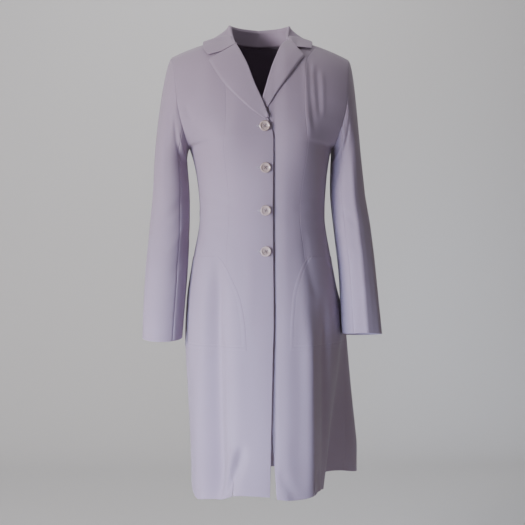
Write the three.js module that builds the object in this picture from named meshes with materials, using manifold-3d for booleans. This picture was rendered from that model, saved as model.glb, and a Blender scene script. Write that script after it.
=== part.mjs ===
import * as THREE from 'three';
import Module from 'manifold-3d';
import { mergeVertices } from 'three/addons/utils/BufferGeometryUtils.js';

// A long, fitted, single-breasted jacket, hollow and filled out as on a figure.
// Millimetres, +Z up. The jacket faces -Y and its wearer's right is at -X.
// The origin is at the middle of the neck, level with the side of the neckline.

const CLOTH = 1.6;
const SEAM_GAP = 0.3;
const HEM = -985;
const NECK_WIDTH = 75;
const BUST_HEIGHT = -232;
const BUST_ASIDE = 84;
const BUST_SWELL = 13;
const BUST_BREADTH = 46;
const BUST_RISE = 62;
const SLIT_LENGTH = 33;
const SLIT_OPENING = 3;
const UNDERLAP = 3.6;
const UNDERLAP_FROM = 50;
const UNDERLAP_FULL = 23;
const ROLL_RADIUS = 2.5;
const FOLD_RADIUS = 3.5;
const RIGHT = -1;
const LEFT = 1;

const CLOTH_COLOUR = 0xb2aab6;
const POCKET_COLOUR = 0xafa7b4;
const BUTTON_COLOUR = 0xdccfcb;

// Sections of the body from the hem up to the underarm: half-widths to the side seams,
// how far back each side seam lies, and the depths of the centre front and back.
const BODY_ROWS = [
  { z: HEM, right: 156, left: 164, rightY: 8, leftY: 46, front: -165, back: 178 },
  { z: -900, right: 158, left: 170, rightY: 8, leftY: 42, front: -162, back: 173 },
  { z: -790, right: 163, left: 175, rightY: 8, leftY: 34, front: -155, back: 164 },
  { z: -665, right: 169, left: 179, rightY: 8, leftY: 22, front: -146, back: 152 },
  { z: -575, right: 165, left: 173, rightY: 7, leftY: 12, front: -136, back: 139 },
  { z: -485, right: 152, left: 160, rightY: 5, leftY: 6, front: -124, back: 120 },
  { z: -385, right: 136, left: 145, rightY: 5, leftY: 5, front: -115, back: 104 },
  { z: -300, right: 142, left: 149, rightY: 5, leftY: 5, front: -123, back: 108 },
  { z: -235, right: 159, left: 159, rightY: 5, leftY: 5, front: -128, back: 112 },
];

// Sections above the underarm: height and depth at the centre, the armhole's edge,
// and how far the cloth has turned by there, in degrees.
const FRONT_TOP = [
  { rise: -235, depth: -128, edgeX: 159, edgeY: 5, edgeZ: -235, turn: 90 },
  { rise: -217, depth: -129, edgeX: 162, edgeY: -32, edgeZ: -231, turn: 78 },
  { rise: -194, depth: -129, edgeX: 168, edgeY: -58, edgeZ: -213, turn: 64 },
  { rise: -162, depth: -127, edgeX: 177, edgeY: -70, edgeZ: -183, turn: 56 },
  { rise: -124, depth: -121, edgeX: 185, edgeY: -71, edgeZ: -146, turn: 50 },
  { rise: -82, depth: -109, edgeX: 189, edgeY: -61, edgeZ: -104, turn: 46 },
  { rise: -38, depth: -84, edgeX: 193, edgeY: -41, edgeZ: -63, turn: 40 },
  { rise: 0, depth: -44, edgeX: 197, edgeY: -18, edgeZ: -41, turn: 34 },
  { rise: 20.5, depth: 5, edgeX: 200, edgeY: 5, edgeZ: -31, turn: 30 },
];
const BACK_TOP = [
  { rise: -235, depth: 112, edgeX: 159, edgeY: 5, edgeZ: -235, turn: 90 },
  { rise: -215, depth: 113, edgeX: 161, edgeY: 38, edgeZ: -229, turn: 76 },
  { rise: -190, depth: 114, edgeX: 165, edgeY: 60, edgeZ: -209, turn: 62 },
  { rise: -158, depth: 114, edgeX: 171, edgeY: 70, edgeZ: -178, turn: 54 },
  { rise: -118, depth: 112, edgeX: 178, edgeY: 70, edgeZ: -140, turn: 48 },
  { rise: -74, depth: 106, edgeX: 185, edgeY: 60, edgeZ: -101, turn: 44 },
  { rise: -30, depth: 92, edgeX: 191, edgeY: 42, edgeZ: -62, turn: 38 },
  { rise: 3, depth: 58, edgeX: 196, edgeY: 22, edgeZ: -41, turn: 32 },
  { rise: 20.5, depth: 5, edgeX: 200, edgeY: 5, edgeZ: -31, turn: 30 },
];

// Folds of the skirt: degrees round from the centre front, breadth in degrees, how far out
// at the hem, the height where each begins, its lean in degrees, and the hem's own drop.
const SKIRT_FOLDS = [
  { side: RIGHT, at: 8, breadth: 20, out: 0, top: -560, lean: 0, drop: -6 },
  { side: RIGHT, at: 23, breadth: 11, out: 4, top: -560, lean: -3, drop: -3 },
  { side: RIGHT, at: 40, breadth: 10, out: -11, top: -500, lean: 2, drop: 9 },
  { side: RIGHT, at: 60, breadth: 13, out: 7, top: -520, lean: 4, drop: 15 },
  { side: RIGHT, at: 103, breadth: 12, out: -14, top: -560, lean: 0, drop: -4 },
  { side: RIGHT, at: 128, breadth: 14, out: 18, top: -520, lean: 2, drop: 2 },
  { side: RIGHT, at: 153, breadth: 11, out: -11, top: -560, lean: 0, drop: -3 },
  { side: LEFT, at: 24, breadth: 14, out: 4, top: -600, lean: 0, drop: 6 },
  { side: LEFT, at: 79, breadth: 12, out: -46, top: -520, lean: 3, drop: -6 },
  { side: LEFT, at: 64, breadth: 8, out: 0, top: -520, lean: 0, drop: 7 },
  { side: LEFT, at: 86, breadth: 9, out: 0, top: -520, lean: 0, drop: -11 },
  { side: LEFT, at: 104, breadth: 20, out: 76, top: -470, lean: 2, drop: -5 },
  { side: LEFT, at: 134, breadth: 11, out: -14, top: -560, lean: 0, drop: -4 },
  { side: LEFT, at: 156, breadth: 12, out: 10, top: -600, lean: 0, drop: 0 },
];
const HEM_DROP_REACH = 160;

// Free edge of each front, towards its own side from the centre: the lap, the roll line
// above the top button, and the neckline up to the shoulder.
const FRONT_EDGE = [
  { z: HEM, right: -10, left: 25 },
  { z: -860, right: -13, left: 17 },
  { z: -700, right: -17, left: -2 },
  { z: -600, right: -20, left: -12 },
  { z: -470, right: -20, left: -18 },
  { z: -225, right: -20, left: -18 },
  { z: -190, right: -11, left: -14 },
  { z: -167, right: -2.5, left: -8 },
  { z: -141, right: 7.6, left: -1 },
  { z: -106, right: 22.7, left: 9.5 },
  { z: -66, right: 36, left: 22 },
  { z: -41, right: 46, left: 32 },
  { z: -12, right: 58, left: 45 },
  { z: 20.5, right: NECK_WIDTH, left: NECK_WIDTH },
];

const PRINCESS_SEAM = [
  { z: HEM, right: 68, left: 100 },
  { z: -830, right: 72, left: 97 },
  { z: -665, right: 78, left: 95 },
  { z: -485, right: 80, left: 90 },
  { z: -385, right: 73, left: 79 },
  { z: -300, right: 77, left: 85 },
  { z: -232, right: 80, left: 88 },
  { z: -150, right: 80, left: 87 },
  { z: -60, right: 90, left: 93 },
  { z: 20.5, right: 128, left: 128 },
];

// Lapels: heights where the roll begins and ends, and the free outer edge.
const LAPELS = [
  {
    side: RIGHT, foot: -176, gorge: -13, lift: 1.0,
    edge: [
      { x: 3, z: -181 },
      { x: 26, z: -166 },
      { x: 60, z: -135 },
      { x: 84, z: -108 },
      { x: 104, z: -76 },
      { x: 116, z: -52 },
    ],
  },
  {
    side: LEFT, foot: -139, gorge: 3, lift: 3.0,
    edge: [
      { x: 10, z: -156 },
      { x: 24, z: -134 },
      { x: 42, z: -108 },
      { x: 66, z: -74 },
      { x: 80, z: -55 },
      { x: 91, z: -42 },
    ],
  },
];

// Collar of each side from its front end round to the centre back: the top of its fold,
// and its outer edge, which lies on the front and then, past the shoulder seam, on the back.
const COLLARS = {
  [RIGHT]: {
    notch: { x: 87, z: -32 },
    tip: { x: 117, z: -40 },
    fold: [
      { share: 0, x: 60, y: -36, z: -2 },
      { share: 0.16, x: 66, y: -14, z: 22 },
      { share: 0.35, x: 69, y: 10, z: 45 },
      { share: 0.68, x: 48, y: 50, z: 48 },
      { share: 1, x: 0, y: 70, z: 47 },
    ],
    edge: [
      { share: 0, x: 117, z: -40 },
      { share: 0.16, x: 128, z: -22 },
      { share: 0.35, x: 127, z: -3 },
      { share: 0.68, x: 82, z: -20 },
      { share: 1, x: 0, z: -22 },
    ],
  },
  [LEFT]: {
    notch: { x: 75, z: -19 },
    tip: { x: 108, z: -20 },
    fold: [
      { share: 0, x: 52, y: -28, z: 14 },
      { share: 0.16, x: 60, y: -9, z: 26 },
      { share: 0.35, x: 65, y: 10, z: 45 },
      { share: 0.68, x: 46, y: 50, z: 48 },
      { share: 1, x: 0, y: 70, z: 47 },
    ],
    edge: [
      { share: 0, x: 108, z: -20 },
      { share: 0.16, x: 113, z: -9 },
      { share: 0.35, x: 114, z: 1 },
      { share: 0.68, x: 80, z: -20 },
      { share: 1, x: 0, z: -22 },
    ],
  },
};
const BACK_NECK_ROW = 15.0;

// Rings of the sleeves below the underarm: centre, half-width and half-depth.
const SLEEVE_ROWS = {
  [RIGHT]: [
    { z: -268, x: 201, y: 3, wide: 37, deep: 61 },
    { z: -330, x: 200, y: 3, wide: 41, deep: 58 },
    { z: -420, x: 204, y: -2, wide: 45, deep: 54 },
    { z: -510, x: 210, y: -12, wide: 47, deep: 50 },
    { z: -580, x: 214.5, y: -22, wide: 46, deep: 46 },
    { z: -655, x: 218.5, y: -32, wide: 44, deep: 42 },
  ],
  [LEFT]: [
    { z: -268, x: 194, y: 3, wide: 35, deep: 61 },
    { z: -330, x: 197, y: 3, wide: 39, deep: 58 },
    { z: -420, x: 208, y: -2, wide: 42, deep: 54 },
    { z: -510, x: 217, y: -12, wide: 42, deep: 50 },
    { z: -580, x: 221, y: -22, wide: 43.5, deep: 46 },
    { z: -650, x: 225, y: -32, wide: 45, deep: 42 },
  ],
};
const CUFF_TILT = { [RIGHT]: 7, [LEFT]: -5 };
const SLEEVE_FRONT_SEAM = 122;
const SLEEVE_BACK_SEAM = 245;
const CAP_SHARE = 0.36;

// Curved inner edge of the patch pockets, up from the foot, and their side edge.
const POCKET_EDGE = [
  { z: -676, right: 38, left: 53 },
  { z: -625, right: 41, left: 55 },
  { z: -572, right: 50, left: 59 },
  { z: -530, right: 66, left: 69 },
  { z: -496, right: 84, left: 84 },
  { z: -476, right: 100, left: 98 },
];
const POCKET_SIDE = 0.975;
const POCKET_LIFT = 1.1;

const BUTTON_RADIUS = 11.5;
const BUTTON_HEIGHT = 4;
const BUTTONS = [
  { name: 'button_1', x: 1, z: -200, seat: 0.6 },
  { name: 'button_2', x: 3, z: -288, seat: 0.6 },
  { name: 'button_3', x: 4, z: -379, seat: 1.5 },
  { name: 'button_4', x: 4, z: -467, seat: 0.7 },
];
// Shares of the button's radius and height, from its underside up over the rim.
const BUTTON_PROFILE = [
  [0, 0],
  [0.8, 0],
  [1, 0.4],
  [0.96, 0.8],
  [0.84, 1],
  [0.6, 0.7],
  [0, 0.65],
];
const BUTTON_SIDES = 16;
const BUTTON_HOLE_SIDES = 6;
const BUTTON_HOLE_RADIUS = 1.1;
const BUTTON_HOLE_ASIDE = 2.5;

const UP = new THREE.Vector3(0, 0, 1);
const UNDERARM = BODY_ROWS.length - 1;
const SHOULDER = UNDERARM + FRONT_TOP.length - 1;
const DEGREE = Math.PI / 180;
const SMALL = 1e-3;

const clamp = THREE.MathUtils.clamp;
const lerp = THREE.MathUtils.lerp;
const smooth = (value) => THREE.MathUtils.smoothstep(value, 0, 1);
const vector = (x, y, z) => new THREE.Vector3(x, y, z);
const column = (rows, name) => rows.map((row) => row[name]);
const sideName = (side) => (side === RIGHT ? 'right' : 'left');

// A smooth curve through a column's values that never swings past them.
function curve(at, values, where) {
  const last = at.length - 1;
  const place = clamp(where, Math.min(at[0], at[last]), Math.max(at[0], at[last]));
  const rising = at[last] > at[0] ? 1 : -1;
  let k = 0;
  while (k < last - 1 && (place - at[k + 1]) * rising > 0) {
    k += 1;
  }
  const slope = (i) => (values[i + 1] - values[i]) / (at[i + 1] - at[i]);
  const tangent = (i) => {
    if (i === 0) {
      return slope(0);
    }
    if (i === last) {
      return slope(last - 1);
    }
    const before = slope(i - 1);
    const after = slope(i);
    return before * after <= 0 ? 0 : (2 * before * after) / (before + after);
  };
  const span = at[k + 1] - at[k];
  const f = (place - at[k]) / span;
  const start = values[k] * (1 + 2 * f) * (1 - f) ** 2 + tangent(k) * span * f * (1 - f) ** 2;
  const end = values[k + 1] * f * f * (3 - 2 * f) + tangent(k + 1) * span * f * f * (f - 1);
  return start + end;
}

// One column of a table with a row for each height or share.
const along = (rows, key, name, where) => curve(column(rows, key), column(rows, name), where);

const FACES = {
  front: { top: FRONT_TOP, outward: -1 },
  back: { top: BACK_TOP, outward: 1 },
};
const ROW_NUMBERS = [...Array(SHOULDER + 1).keys()];
for (const [name, face] of Object.entries(FACES)) {
  face.depths = [...column(BODY_ROWS, name), ...column(face.top.slice(1), 'depth')];
  face.heights = [...column(BODY_ROWS, 'z'), ...column(face.top.slice(1), 'rise')];
}

// The section of one quarter of the body at a row: rows count up from the hem, then the
// underarm, to the shoulder seam.
function sectionAt(faceName, side, row) {
  const face = FACES[faceName];
  const depth = curve(ROW_NUMBERS, face.depths, row);
  const height = curve(ROW_NUMBERS, face.heights, row);
  if (row <= UNDERARM) {
    const numbers = ROW_NUMBERS.slice(0, UNDERARM + 1);
    const sideColumn = (name) => curve(numbers, column(BODY_ROWS, name), row);
    const width = sideColumn(sideName(side));
    const sideY = sideColumn(`${sideName(side)}Y`);
    return { depth, height, width, sideY, sideZ: height, turn: 90 * DEGREE };
  }
  const numbers = ROW_NUMBERS.slice(UNDERARM);
  const edgeColumn = (name) => curve(numbers, column(face.top, name), row);
  return {
    depth,
    height,
    width: edgeColumn('edgeX'),
    sideY: edgeColumn('edgeY'),
    sideZ: edgeColumn('edgeZ'),
    turn: edgeColumn('turn') * DEGREE,
  };
}

// Share of the way round a section, from centre to side, of a place at x.
function shareAt(faceName, side, x, row) {
  const section = sectionAt(faceName, side, row);
  const sine = clamp((x / section.width) * Math.sin(section.turn), -1, 1);
  return Math.asin(sine) / section.turn;
}

// How far the skirt's folds move the cloth out, and its hem down.
function skirtFold(faceName, side, share, z) {
  const around = faceName === 'front' ? share * 90 : 180 - share * 90;
  let out = 0;
  let drop = 0;
  for (const fold of SKIRT_FOLDS.filter((row) => row.side === side)) {
    const reach = clamp((fold.top - z) / (fold.top - HEM), 0, 1);
    const middle = fold.at + fold.lean * (1 - reach);
    const near = Math.exp(-(((around - middle) / fold.breadth) ** 2));
    out += fold.out * reach ** 1.4 * near;
    drop += fold.drop * clamp(1 - (z - HEM) / HEM_DROP_REACH, 0, 1) ** 2 * near;
  }
  return { out, drop };
}

function bodyPoint(faceName, side, share, row) {
  const section = sectionAt(faceName, side, row);
  const { depth, height, width, sideY, sideZ, turn } = section;
  const angle = share * turn;
  const across = Math.sin(angle) / Math.sin(turn);
  const round = (1 - Math.cos(angle)) / (1 - Math.cos(turn));
  const x = width * across;
  const y = depth + (sideY - depth) * round;
  const z = height + (sideZ - height) * across * across;
  const alongX = (width * Math.cos(angle)) / Math.sin(turn);
  const alongY = ((sideY - depth) * Math.sin(angle)) / (1 - Math.cos(turn));
  const outward = FACES[faceName].outward;
  const normal = new THREE.Vector2(-outward * alongY, outward * alongX).normalize();
  const fold = skirtFold(faceName, side, share, z);
  let out = fold.out;
  if (faceName === 'front') {
    const aside = (x - BUST_ASIDE) / BUST_BREADTH;
    const rise = (z - BUST_HEIGHT) / BUST_RISE;
    out += BUST_SWELL * Math.exp(-aside * aside - rise * rise);
    out -= side === LEFT ? UNDERLAP * smooth((UNDERLAP_FROM - x) / (UNDERLAP_FROM - UNDERLAP_FULL)) : 0;
  }
  return vector(side * (x + normal.x * out), y + normal.y * out, z - fold.drop);
}

// Outward direction of a surface at a place, by small steps either way.
function directionOut(surface, u, v, hint) {
  const du = surface(u + SMALL, v).sub(surface(u - SMALL, v));
  const dv = surface(u, v + SMALL).sub(surface(u, v - SMALL));
  const normal = du.cross(dv).normalize();
  return normal.dot(hint) < 0 ? normal.negate() : normal;
}

function bodyDirection(faceName, side, share, row) {
  const inside = clamp(row, SMALL, SHOULDER - 2 * SMALL);
  const surface = (u, v) => bodyPoint(faceName, side, u, v);
  const outward = FACES[faceName].outward;
  const hint = vector(side * share, outward * (1.1 - share), row > UNDERARM + 5 ? 1.5 : 0.1);
  const normal = directionOut(surface, share, inside, hint);
  const seamward = smooth((row - SHOULDER + 0.7) / 0.7);
  const section = sectionAt(faceName, side, SHOULDER);
  const fall = (2 * (section.height - section.sideZ) * Math.sin(share * section.turn)) / section.width;
  const shoulderNormal = vector(side * fall, 0, 1).normalize();
  return normal.lerp(shoulderNormal, seamward).normalize();
}

function onBody(faceName, side, share, row, lift) {
  const point = bodyPoint(faceName, side, share, row);
  return point.addScaledVector(bodyDirection(faceName, side, share, row), lift);
}

// The row where the body's surface has a given height at x.
function rowAt(faceName, side, x, z) {
  let low = 0;
  let high = SHOULDER;
  for (let step = 0; step < 26; step += 1) {
    const middle = (low + high) / 2;
    const share = shareAt(faceName, side, x, middle);
    if (bodyPoint(faceName, side, share, middle).z < z) {
      low = middle;
    } else {
      high = middle;
    }
  }
  return (low + high) / 2;
}

function rowsBetween(from, to, count) {
  return Array.from({ length: count + 1 }, (_, k) => lerp(from, to, k / count));
}

// A closed wall between two grids of points, its faces turned outwards.
function closedWall(outer, inner) {
  const rows = outer.length;
  const columns = outer[0].length;
  const points = [...outer.flat(), ...inner.flat()];
  const positions = points.flatMap((p) => [p.x, p.y, p.z]);
  const faces = [];
  const quad = (a, b, c, d) => faces.push(a, b, c, a, c, d);
  const out = (i, j) => i * columns + j;
  const inn = (i, j) => (rows + i) * columns + j;
  for (let i = 0; i < rows - 1; i += 1) {
    for (let j = 0; j < columns - 1; j += 1) {
      quad(out(i, j), out(i, j + 1), out(i + 1, j + 1), out(i + 1, j));
      quad(inn(i, j), inn(i + 1, j), inn(i + 1, j + 1), inn(i, j + 1));
    }
    quad(out(i + 1, 0), inn(i + 1, 0), inn(i, 0), out(i, 0));
    quad(out(i, columns - 1), inn(i, columns - 1), inn(i + 1, columns - 1), out(i + 1, columns - 1));
  }
  for (let j = 0; j < columns - 1; j += 1) {
    quad(out(0, j), inn(0, j), inn(0, j + 1), out(0, j + 1));
    quad(out(rows - 1, j + 1), inn(rows - 1, j + 1), inn(rows - 1, j), out(rows - 1, j));
  }
  const at = (k) => points[faces[k]];
  let volume = 0;
  for (let k = 0; k < faces.length; k += 3) {
    volume += at(k).dot(at(k + 1).clone().cross(at(k + 2)));
  }
  if (volume < 0) {
    faces.reverse();
  }
  const geometry = new THREE.BufferGeometry();
  geometry.setAttribute('position', new THREE.Float32BufferAttribute(positions, 3));
  geometry.setIndex(faces);
  return geometry;
}

function material(color, roughness) {
  return new THREE.MeshStandardMaterial({ color, roughness, metalness: 0 });
}

const jacket = new THREE.Group();

function addPiece(name, geometry, color = CLOTH_COLOUR, roughness = 0.85) {
  const mesh = new THREE.Mesh(geometry, material(color, roughness));
  mesh.name = name;
  jacket.add(mesh);
  return mesh;
}

// Share of the way round that a width of cloth takes up at a place.
function shareOf(faceName, side, share, row, width) {
  const step = bodyPoint(faceName, side, share + SMALL, row);
  const length = step.distanceTo(bodyPoint(faceName, side, share - SMALL, row));
  return (width * 2 * SMALL) / length;
}

// A panel of the body between two edges, each a share of the way round at a row.
function bodyPanel(name, faceName, side, edges, columns, rows) {
  const outer = [];
  const inner = [];
  for (const row of rows) {
    const from = edges.from(row);
    const to = edges.to(row);
    const start = from + shareOf(faceName, side, from, row, edges.fromGap(row));
    const end = to - shareOf(faceName, side, to, row, edges.toGap(row));
    const shares = rowsBetween(start, end, columns);
    outer.push(shares.map((share) => bodyPoint(faceName, side, share, row)));
    inner.push(shares.map((share) => onBody(faceName, side, share, row, -CLOTH)));
  }
  return addPiece(name, closedWall(outer, inner));
}

const heightAt = (faceName, row) => curve(ROW_NUMBERS, FACES[faceName].heights, row);
const seamHalf = () => SEAM_GAP / 2;
const noGap = () => 0;

function frontEdgeX(side, row) {
  return along(FRONT_EDGE, 'z', sideName(side), heightAt('front', row));
}

function frontEdgeShare(side, row) {
  return shareAt('front', side, frontEdgeX(side, row), row);
}

function princessShare(side, row) {
  const x = along(PRINCESS_SEAM, 'z', sideName(side), heightAt('front', row));
  return shareAt('front', side, x, row);
}

// Half the gap at a princess seam, which opens into a slit just above the hem.
function princessGap(row) {
  const slit = clamp(1 - (heightAt('front', row) - HEM) / SLIT_LENGTH, 0, 1);
  return SEAM_GAP / 2 + (slit * SLIT_OPENING) / 2;
}

// Half the width of the back's neckline at a row, from the centre back to the shoulder.
function backNeckX(row) {
  const depth = clamp((SHOULDER - row) / (SHOULDER - BACK_NECK_ROW), 0, 1);
  return NECK_WIDTH * Math.sqrt(1 - depth * depth);
}

const SLIT_ROW = rowAt('front', RIGHT, PRINCESS_SEAM[0].right, HEM + SLIT_LENGTH);
const BODY_LEVELS = [
  0,
  SLIT_ROW,
  ...rowsBetween(0.75, UNDERARM, 13),
  ...rowsBetween(UNDERARM, SHOULDER - 1, 9).slice(1),
  ...rowsBetween(SHOULDER - 1, SHOULDER - 0.005, 5).slice(1),
];

function buildBody(side) {
  const name = sideName(side);
  const front = {
    from: (row) => frontEdgeShare(side, row),
    to: (row) => princessShare(side, row),
    fromGap: noGap,
    toGap: princessGap,
  };
  const sideFront = {
    from: (row) => princessShare(side, row),
    to: () => 1,
    fromGap: princessGap,
    toGap: seamHalf,
  };
  const back = {
    from: (row) => shareAt('back', side, backNeckX(row), row),
    to: () => 1,
    fromGap: seamHalf,
    toGap: seamHalf,
  };
  bodyPanel(`front_${name}`, 'front', side, front, 7, BODY_LEVELS);
  bodyPanel(`side_front_${name}`, 'front', side, sideFront, 8, BODY_LEVELS);
  bodyPanel(`back_${name}`, 'back', side, back, 14, BODY_LEVELS);
}

buildBody(RIGHT);
buildBody(LEFT);

// A wall whose outer points come from a surface and whose inner points lie a cloth's
// thickness behind them, away from the hint.
function surfaceWall(name, surface, us, vs, hintAt, options = {}) {
  const { thickness = CLOTH, color = CLOTH_COLOUR } = options;
  const outer = us.map((u) => vs.map((v) => surface(u, v)));
  const inner = us.map((u, i) => vs.map((v, j) => {
    const inU = clamp(u, 2 * SMALL, 1 - 2 * SMALL);
    const inV = clamp(v, 2 * SMALL, 1 - 2 * SMALL);
    const normal = directionOut(surface, inU, inV, hintAt(u, v));
    return outer[i][j].clone().addScaledVector(normal, -thickness);
  }));
  return addPiece(name, closedWall(outer, inner), color);
}

// Lapels: the cloth turns round the front's free edge in a half circle and lies back on
// the front. Places on it are x and row of the front's own surface, and a lift.
const ROLL_SHARE = 0.22;
const ROLL_CLEAR = 0.8;
const LAPEL_SETTLES = 1.6;
const LAPEL_ACROSS = [0, 0.055, 0.11, 0.165, ROLL_SHARE, 0.36, 0.55, 0.78, 1];

function lapelPlace(lapel, across, up) {
  const { side } = lapel;
  const row = lerp(lapel.footRow, lapel.gorgeRow, up);
  const rollX = frontEdgeX(side, row) - ROLL_CLEAR;
  if (across <= ROLL_SHARE) {
    const turn = (across / ROLL_SHARE) * Math.PI;
    const lift = ROLL_RADIUS - CLOTH - ROLL_RADIUS * Math.cos(turn);
    return { x: rollX - ROLL_RADIUS * Math.sin(turn), row, lift };
  }
  const far = (across - ROLL_SHARE) / (1 - ROLL_SHARE);
  const numbers = lapel.edge.map((_, k) => k / (lapel.edge.length - 1));
  const rollZ = bodyPoint('front', side, shareAt('front', side, rollX, row), row).z;
  const placeX = lerp(rollX, curve(numbers, column(lapel.edge, 'x'), up), far);
  const placeZ = lerp(rollZ, curve(numbers, column(lapel.edge, 'z'), up), far);
  const top = 2 * ROLL_RADIUS - CLOTH;
  const low = CLOTH + SEAM_GAP + lapel.lift;
  const lift = lerp(top, low, smooth(far * LAPEL_SETTLES));
  return { x: placeX, row: rowAt('front', side, placeX, placeZ), lift };
}

function lapelPoint(lapel, across, up) {
  const place = lapelPlace(lapel, across, up);
  const share = shareAt('front', lapel.side, place.x, place.row);
  return onBody('front', lapel.side, share, place.row, place.lift);
}

for (const lapel of LAPELS) {
  const { side } = lapel;
  const edgeAt = (z) => along(FRONT_EDGE, 'z', sideName(side), z);
  lapel.footRow = rowAt('front', side, edgeAt(lapel.foot), lapel.foot);
  lapel.gorgeRow = rowAt('front', side, edgeAt(lapel.gorge), lapel.gorge);
  const turning = vector(-side, 0, 0);
  const lying = vector(-side * 0.3, -1, 0.5);
  const hint = (up, across) => (across < ROLL_SHARE / 2 ? turning : lying);
  const surface = (up, across) => lapelPoint(lapel, across, up);
  surfaceWall(`lapel_${sideName(side)}`, surface, rowsBetween(0, 1, 11), LAPEL_ACROSS, hint);
}

// The seam where the collar's stand is sewn on: along the fronts' necklines from the
// gorge to the shoulders, then round the back.
const NECK_SHOULDER_SHARE = 0.35;

function neckPlace(side, share) {
  if (share <= NECK_SHOULDER_SHARE) {
    const lapel = LAPELS.find((row) => row.side === side);
    const row = lerp(lapel.gorgeRow, SHOULDER - SMALL, share / NECK_SHOULDER_SHARE);
    return { face: 'front', share: frontEdgeShare(side, row), row };
  }
  const turn = ((share - NECK_SHOULDER_SHARE) / (1 - NECK_SHOULDER_SHARE)) * 90 * DEGREE;
  const row = SHOULDER - (SHOULDER - BACK_NECK_ROW) * Math.sin(turn);
  const x = NECK_WIDTH * Math.cos(turn);
  return { face: 'back', share: shareAt('back', side, x, row), row };
}

const neckPoint = (side, share, lift) => {
  const place = neckPlace(side, share);
  return onBody(place.face, side, place.share, place.row, lift);
};

// Sideways direction out of the neck, level with the ground.
function neckOutward(side, share) {
  const turn = lerp(-25, 90, share) * DEGREE;
  return vector(side * Math.cos(turn), Math.sin(turn), 0);
}

function foldPoint(side, share) {
  const rows = COLLARS[side].fold;
  const value = (name) => along(rows, 'share', name, share);
  return vector(side * value('x'), value('y'), value('z'));
}

function standTop(side, share) {
  const fold = foldPoint(side, share);
  fold.addScaledVector(UP, -FOLD_RADIUS);
  return fold.addScaledVector(neckOutward(side, share), -FOLD_RADIUS);
}

const COLLAR_LIFT = CLOTH + 2.8;

function collarEdgePoint(side, share) {
  const rows = COLLARS[side].edge;
  const x = along(rows, 'share', 'x', share);
  const z = along(rows, 'share', 'z', share);
  const face = share < NECK_SHOULDER_SHARE ? 'front' : 'back';
  const row = rowAt(face, side, x, z);
  return onBody(face, side, shareAt(face, side, x, row), row, COLLAR_LIFT);
}

// The fall of the collar: half round its fold, then out and down to its outer edge. At the
// front end it lies along the top of the lapel and then along its own free edge.
const FOLD_SHARE = 0.24;
const NOTCH_SHARE = 0.58;
const COLLAR_BLEND = 0.2;
const GORGE_GAP = 2.9;
const COLLAR_TIP_RISE = 0.8;
const COLLAR_LEAVES_DOWN = 0.55;
const COLLAR_LEAVES_OUT = 0.4;
const COLLAR_ARRIVES_UP = 0.15;

function collarBody(side, share, across) {
  const top = standTop(side, share);
  const outward = neckOutward(side, share);
  const centre = top.clone().addScaledVector(outward, FOLD_RADIUS);
  if (across <= FOLD_SHARE) {
    const turn = (across / FOLD_SHARE) * Math.PI;
    centre.addScaledVector(outward, -FOLD_RADIUS * Math.cos(turn));
    return centre.addScaledVector(UP, FOLD_RADIUS * Math.sin(turn));
  }
  const f = (across - FOLD_SHARE) / (1 - FOLD_SHARE);
  const start = centre.addScaledVector(outward, FOLD_RADIUS);
  const end = collarEdgePoint(side, share);
  const length = start.distanceTo(end);
  const leave = vector(0, 0, -length * COLLAR_LEAVES_DOWN).addScaledVector(outward, length * COLLAR_LEAVES_OUT);
  const arrive = end.clone().sub(start).addScaledVector(UP, length * COLLAR_ARRIVES_UP);
  const point = start.multiplyScalar((1 + 2 * f) * (1 - f) ** 2);
  point.addScaledVector(leave, f * (1 - f) ** 2);
  point.addScaledVector(end, f * f * (3 - 2 * f));
  return point.addScaledVector(arrive, f * f * (f - 1));
}

function collarFront(side, across) {
  const lapel = LAPELS.find((row) => row.side === side);
  const { notch, tip } = COLLARS[side];
  const low = CLOTH + SEAM_GAP + lapel.lift;
  const roll = lapelPlace(lapel, ROLL_SHARE, 1);
  const rollZ = bodyPoint('front', side, shareAt('front', side, roll.x, roll.row), roll.row).z;
  const apart = new THREE.Vector2(rollZ - notch.z, notch.x - roll.x).setLength(GORGE_GAP);
  if (across <= FOLD_SHARE) {
    const point = lapelPoint(lapel, (across / FOLD_SHARE) * ROLL_SHARE, 1);
    return point.addScaledVector(UP, GORGE_GAP);
  }
  const far = clamp((across - FOLD_SHARE) / (NOTCH_SHARE - FOLD_SHARE), 0, 1);
  const free = clamp((across - NOTCH_SHARE) / (1 - NOTCH_SHARE), 0, 1);
  apart.lerp(new THREE.Vector2(0, GORGE_GAP), 1 - smooth(far * 3));
  const x = lerp(lerp(roll.x, notch.x, far), tip.x, free) + apart.x;
  const z = lerp(lerp(rollZ, notch.z, far), tip.z, free) + apart.y;
  const row = rowAt('front', side, x, z);
  const lift = lerp(roll.lift, low, smooth(far * LAPEL_SETTLES)) + free * COLLAR_TIP_RISE;
  return onBody('front', side, shareAt('front', side, x, row), row, lift);
}

// Moves a point out until it clears the body's cloth below it.
function clearOfBody(point, side, least) {
  const x = Math.abs(point.x);
  const section = sectionAt('front', side, SHOULDER);
  const shoulderZ = section.height + (section.sideZ - section.height) * (x / section.width) ** 2;
  const face = point.y < section.sideY ? 'front' : 'back';
  const row = rowAt(face, side, x, Math.min(point.z, shoulderZ - SMALL));
  const share = shareAt(face, side, x, row);
  const direction = bodyDirection(face, side, share, row);
  const clear = point.clone().sub(bodyPoint(face, side, share, row)).dot(direction);
  return clear < least ? point.addScaledVector(direction, least - clear) : point;
}

function collarPoint(side, share, across) {
  const general = collarBody(side, share, across);
  if (across > FOLD_SHARE) {
    clearOfBody(general, side, COLLAR_LIFT);
  }
  if (share >= COLLAR_BLEND) {
    return general;
  }
  const near = 1 - smooth(share / COLLAR_BLEND);
  return general.lerp(collarFront(side, across), near);
}

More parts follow.
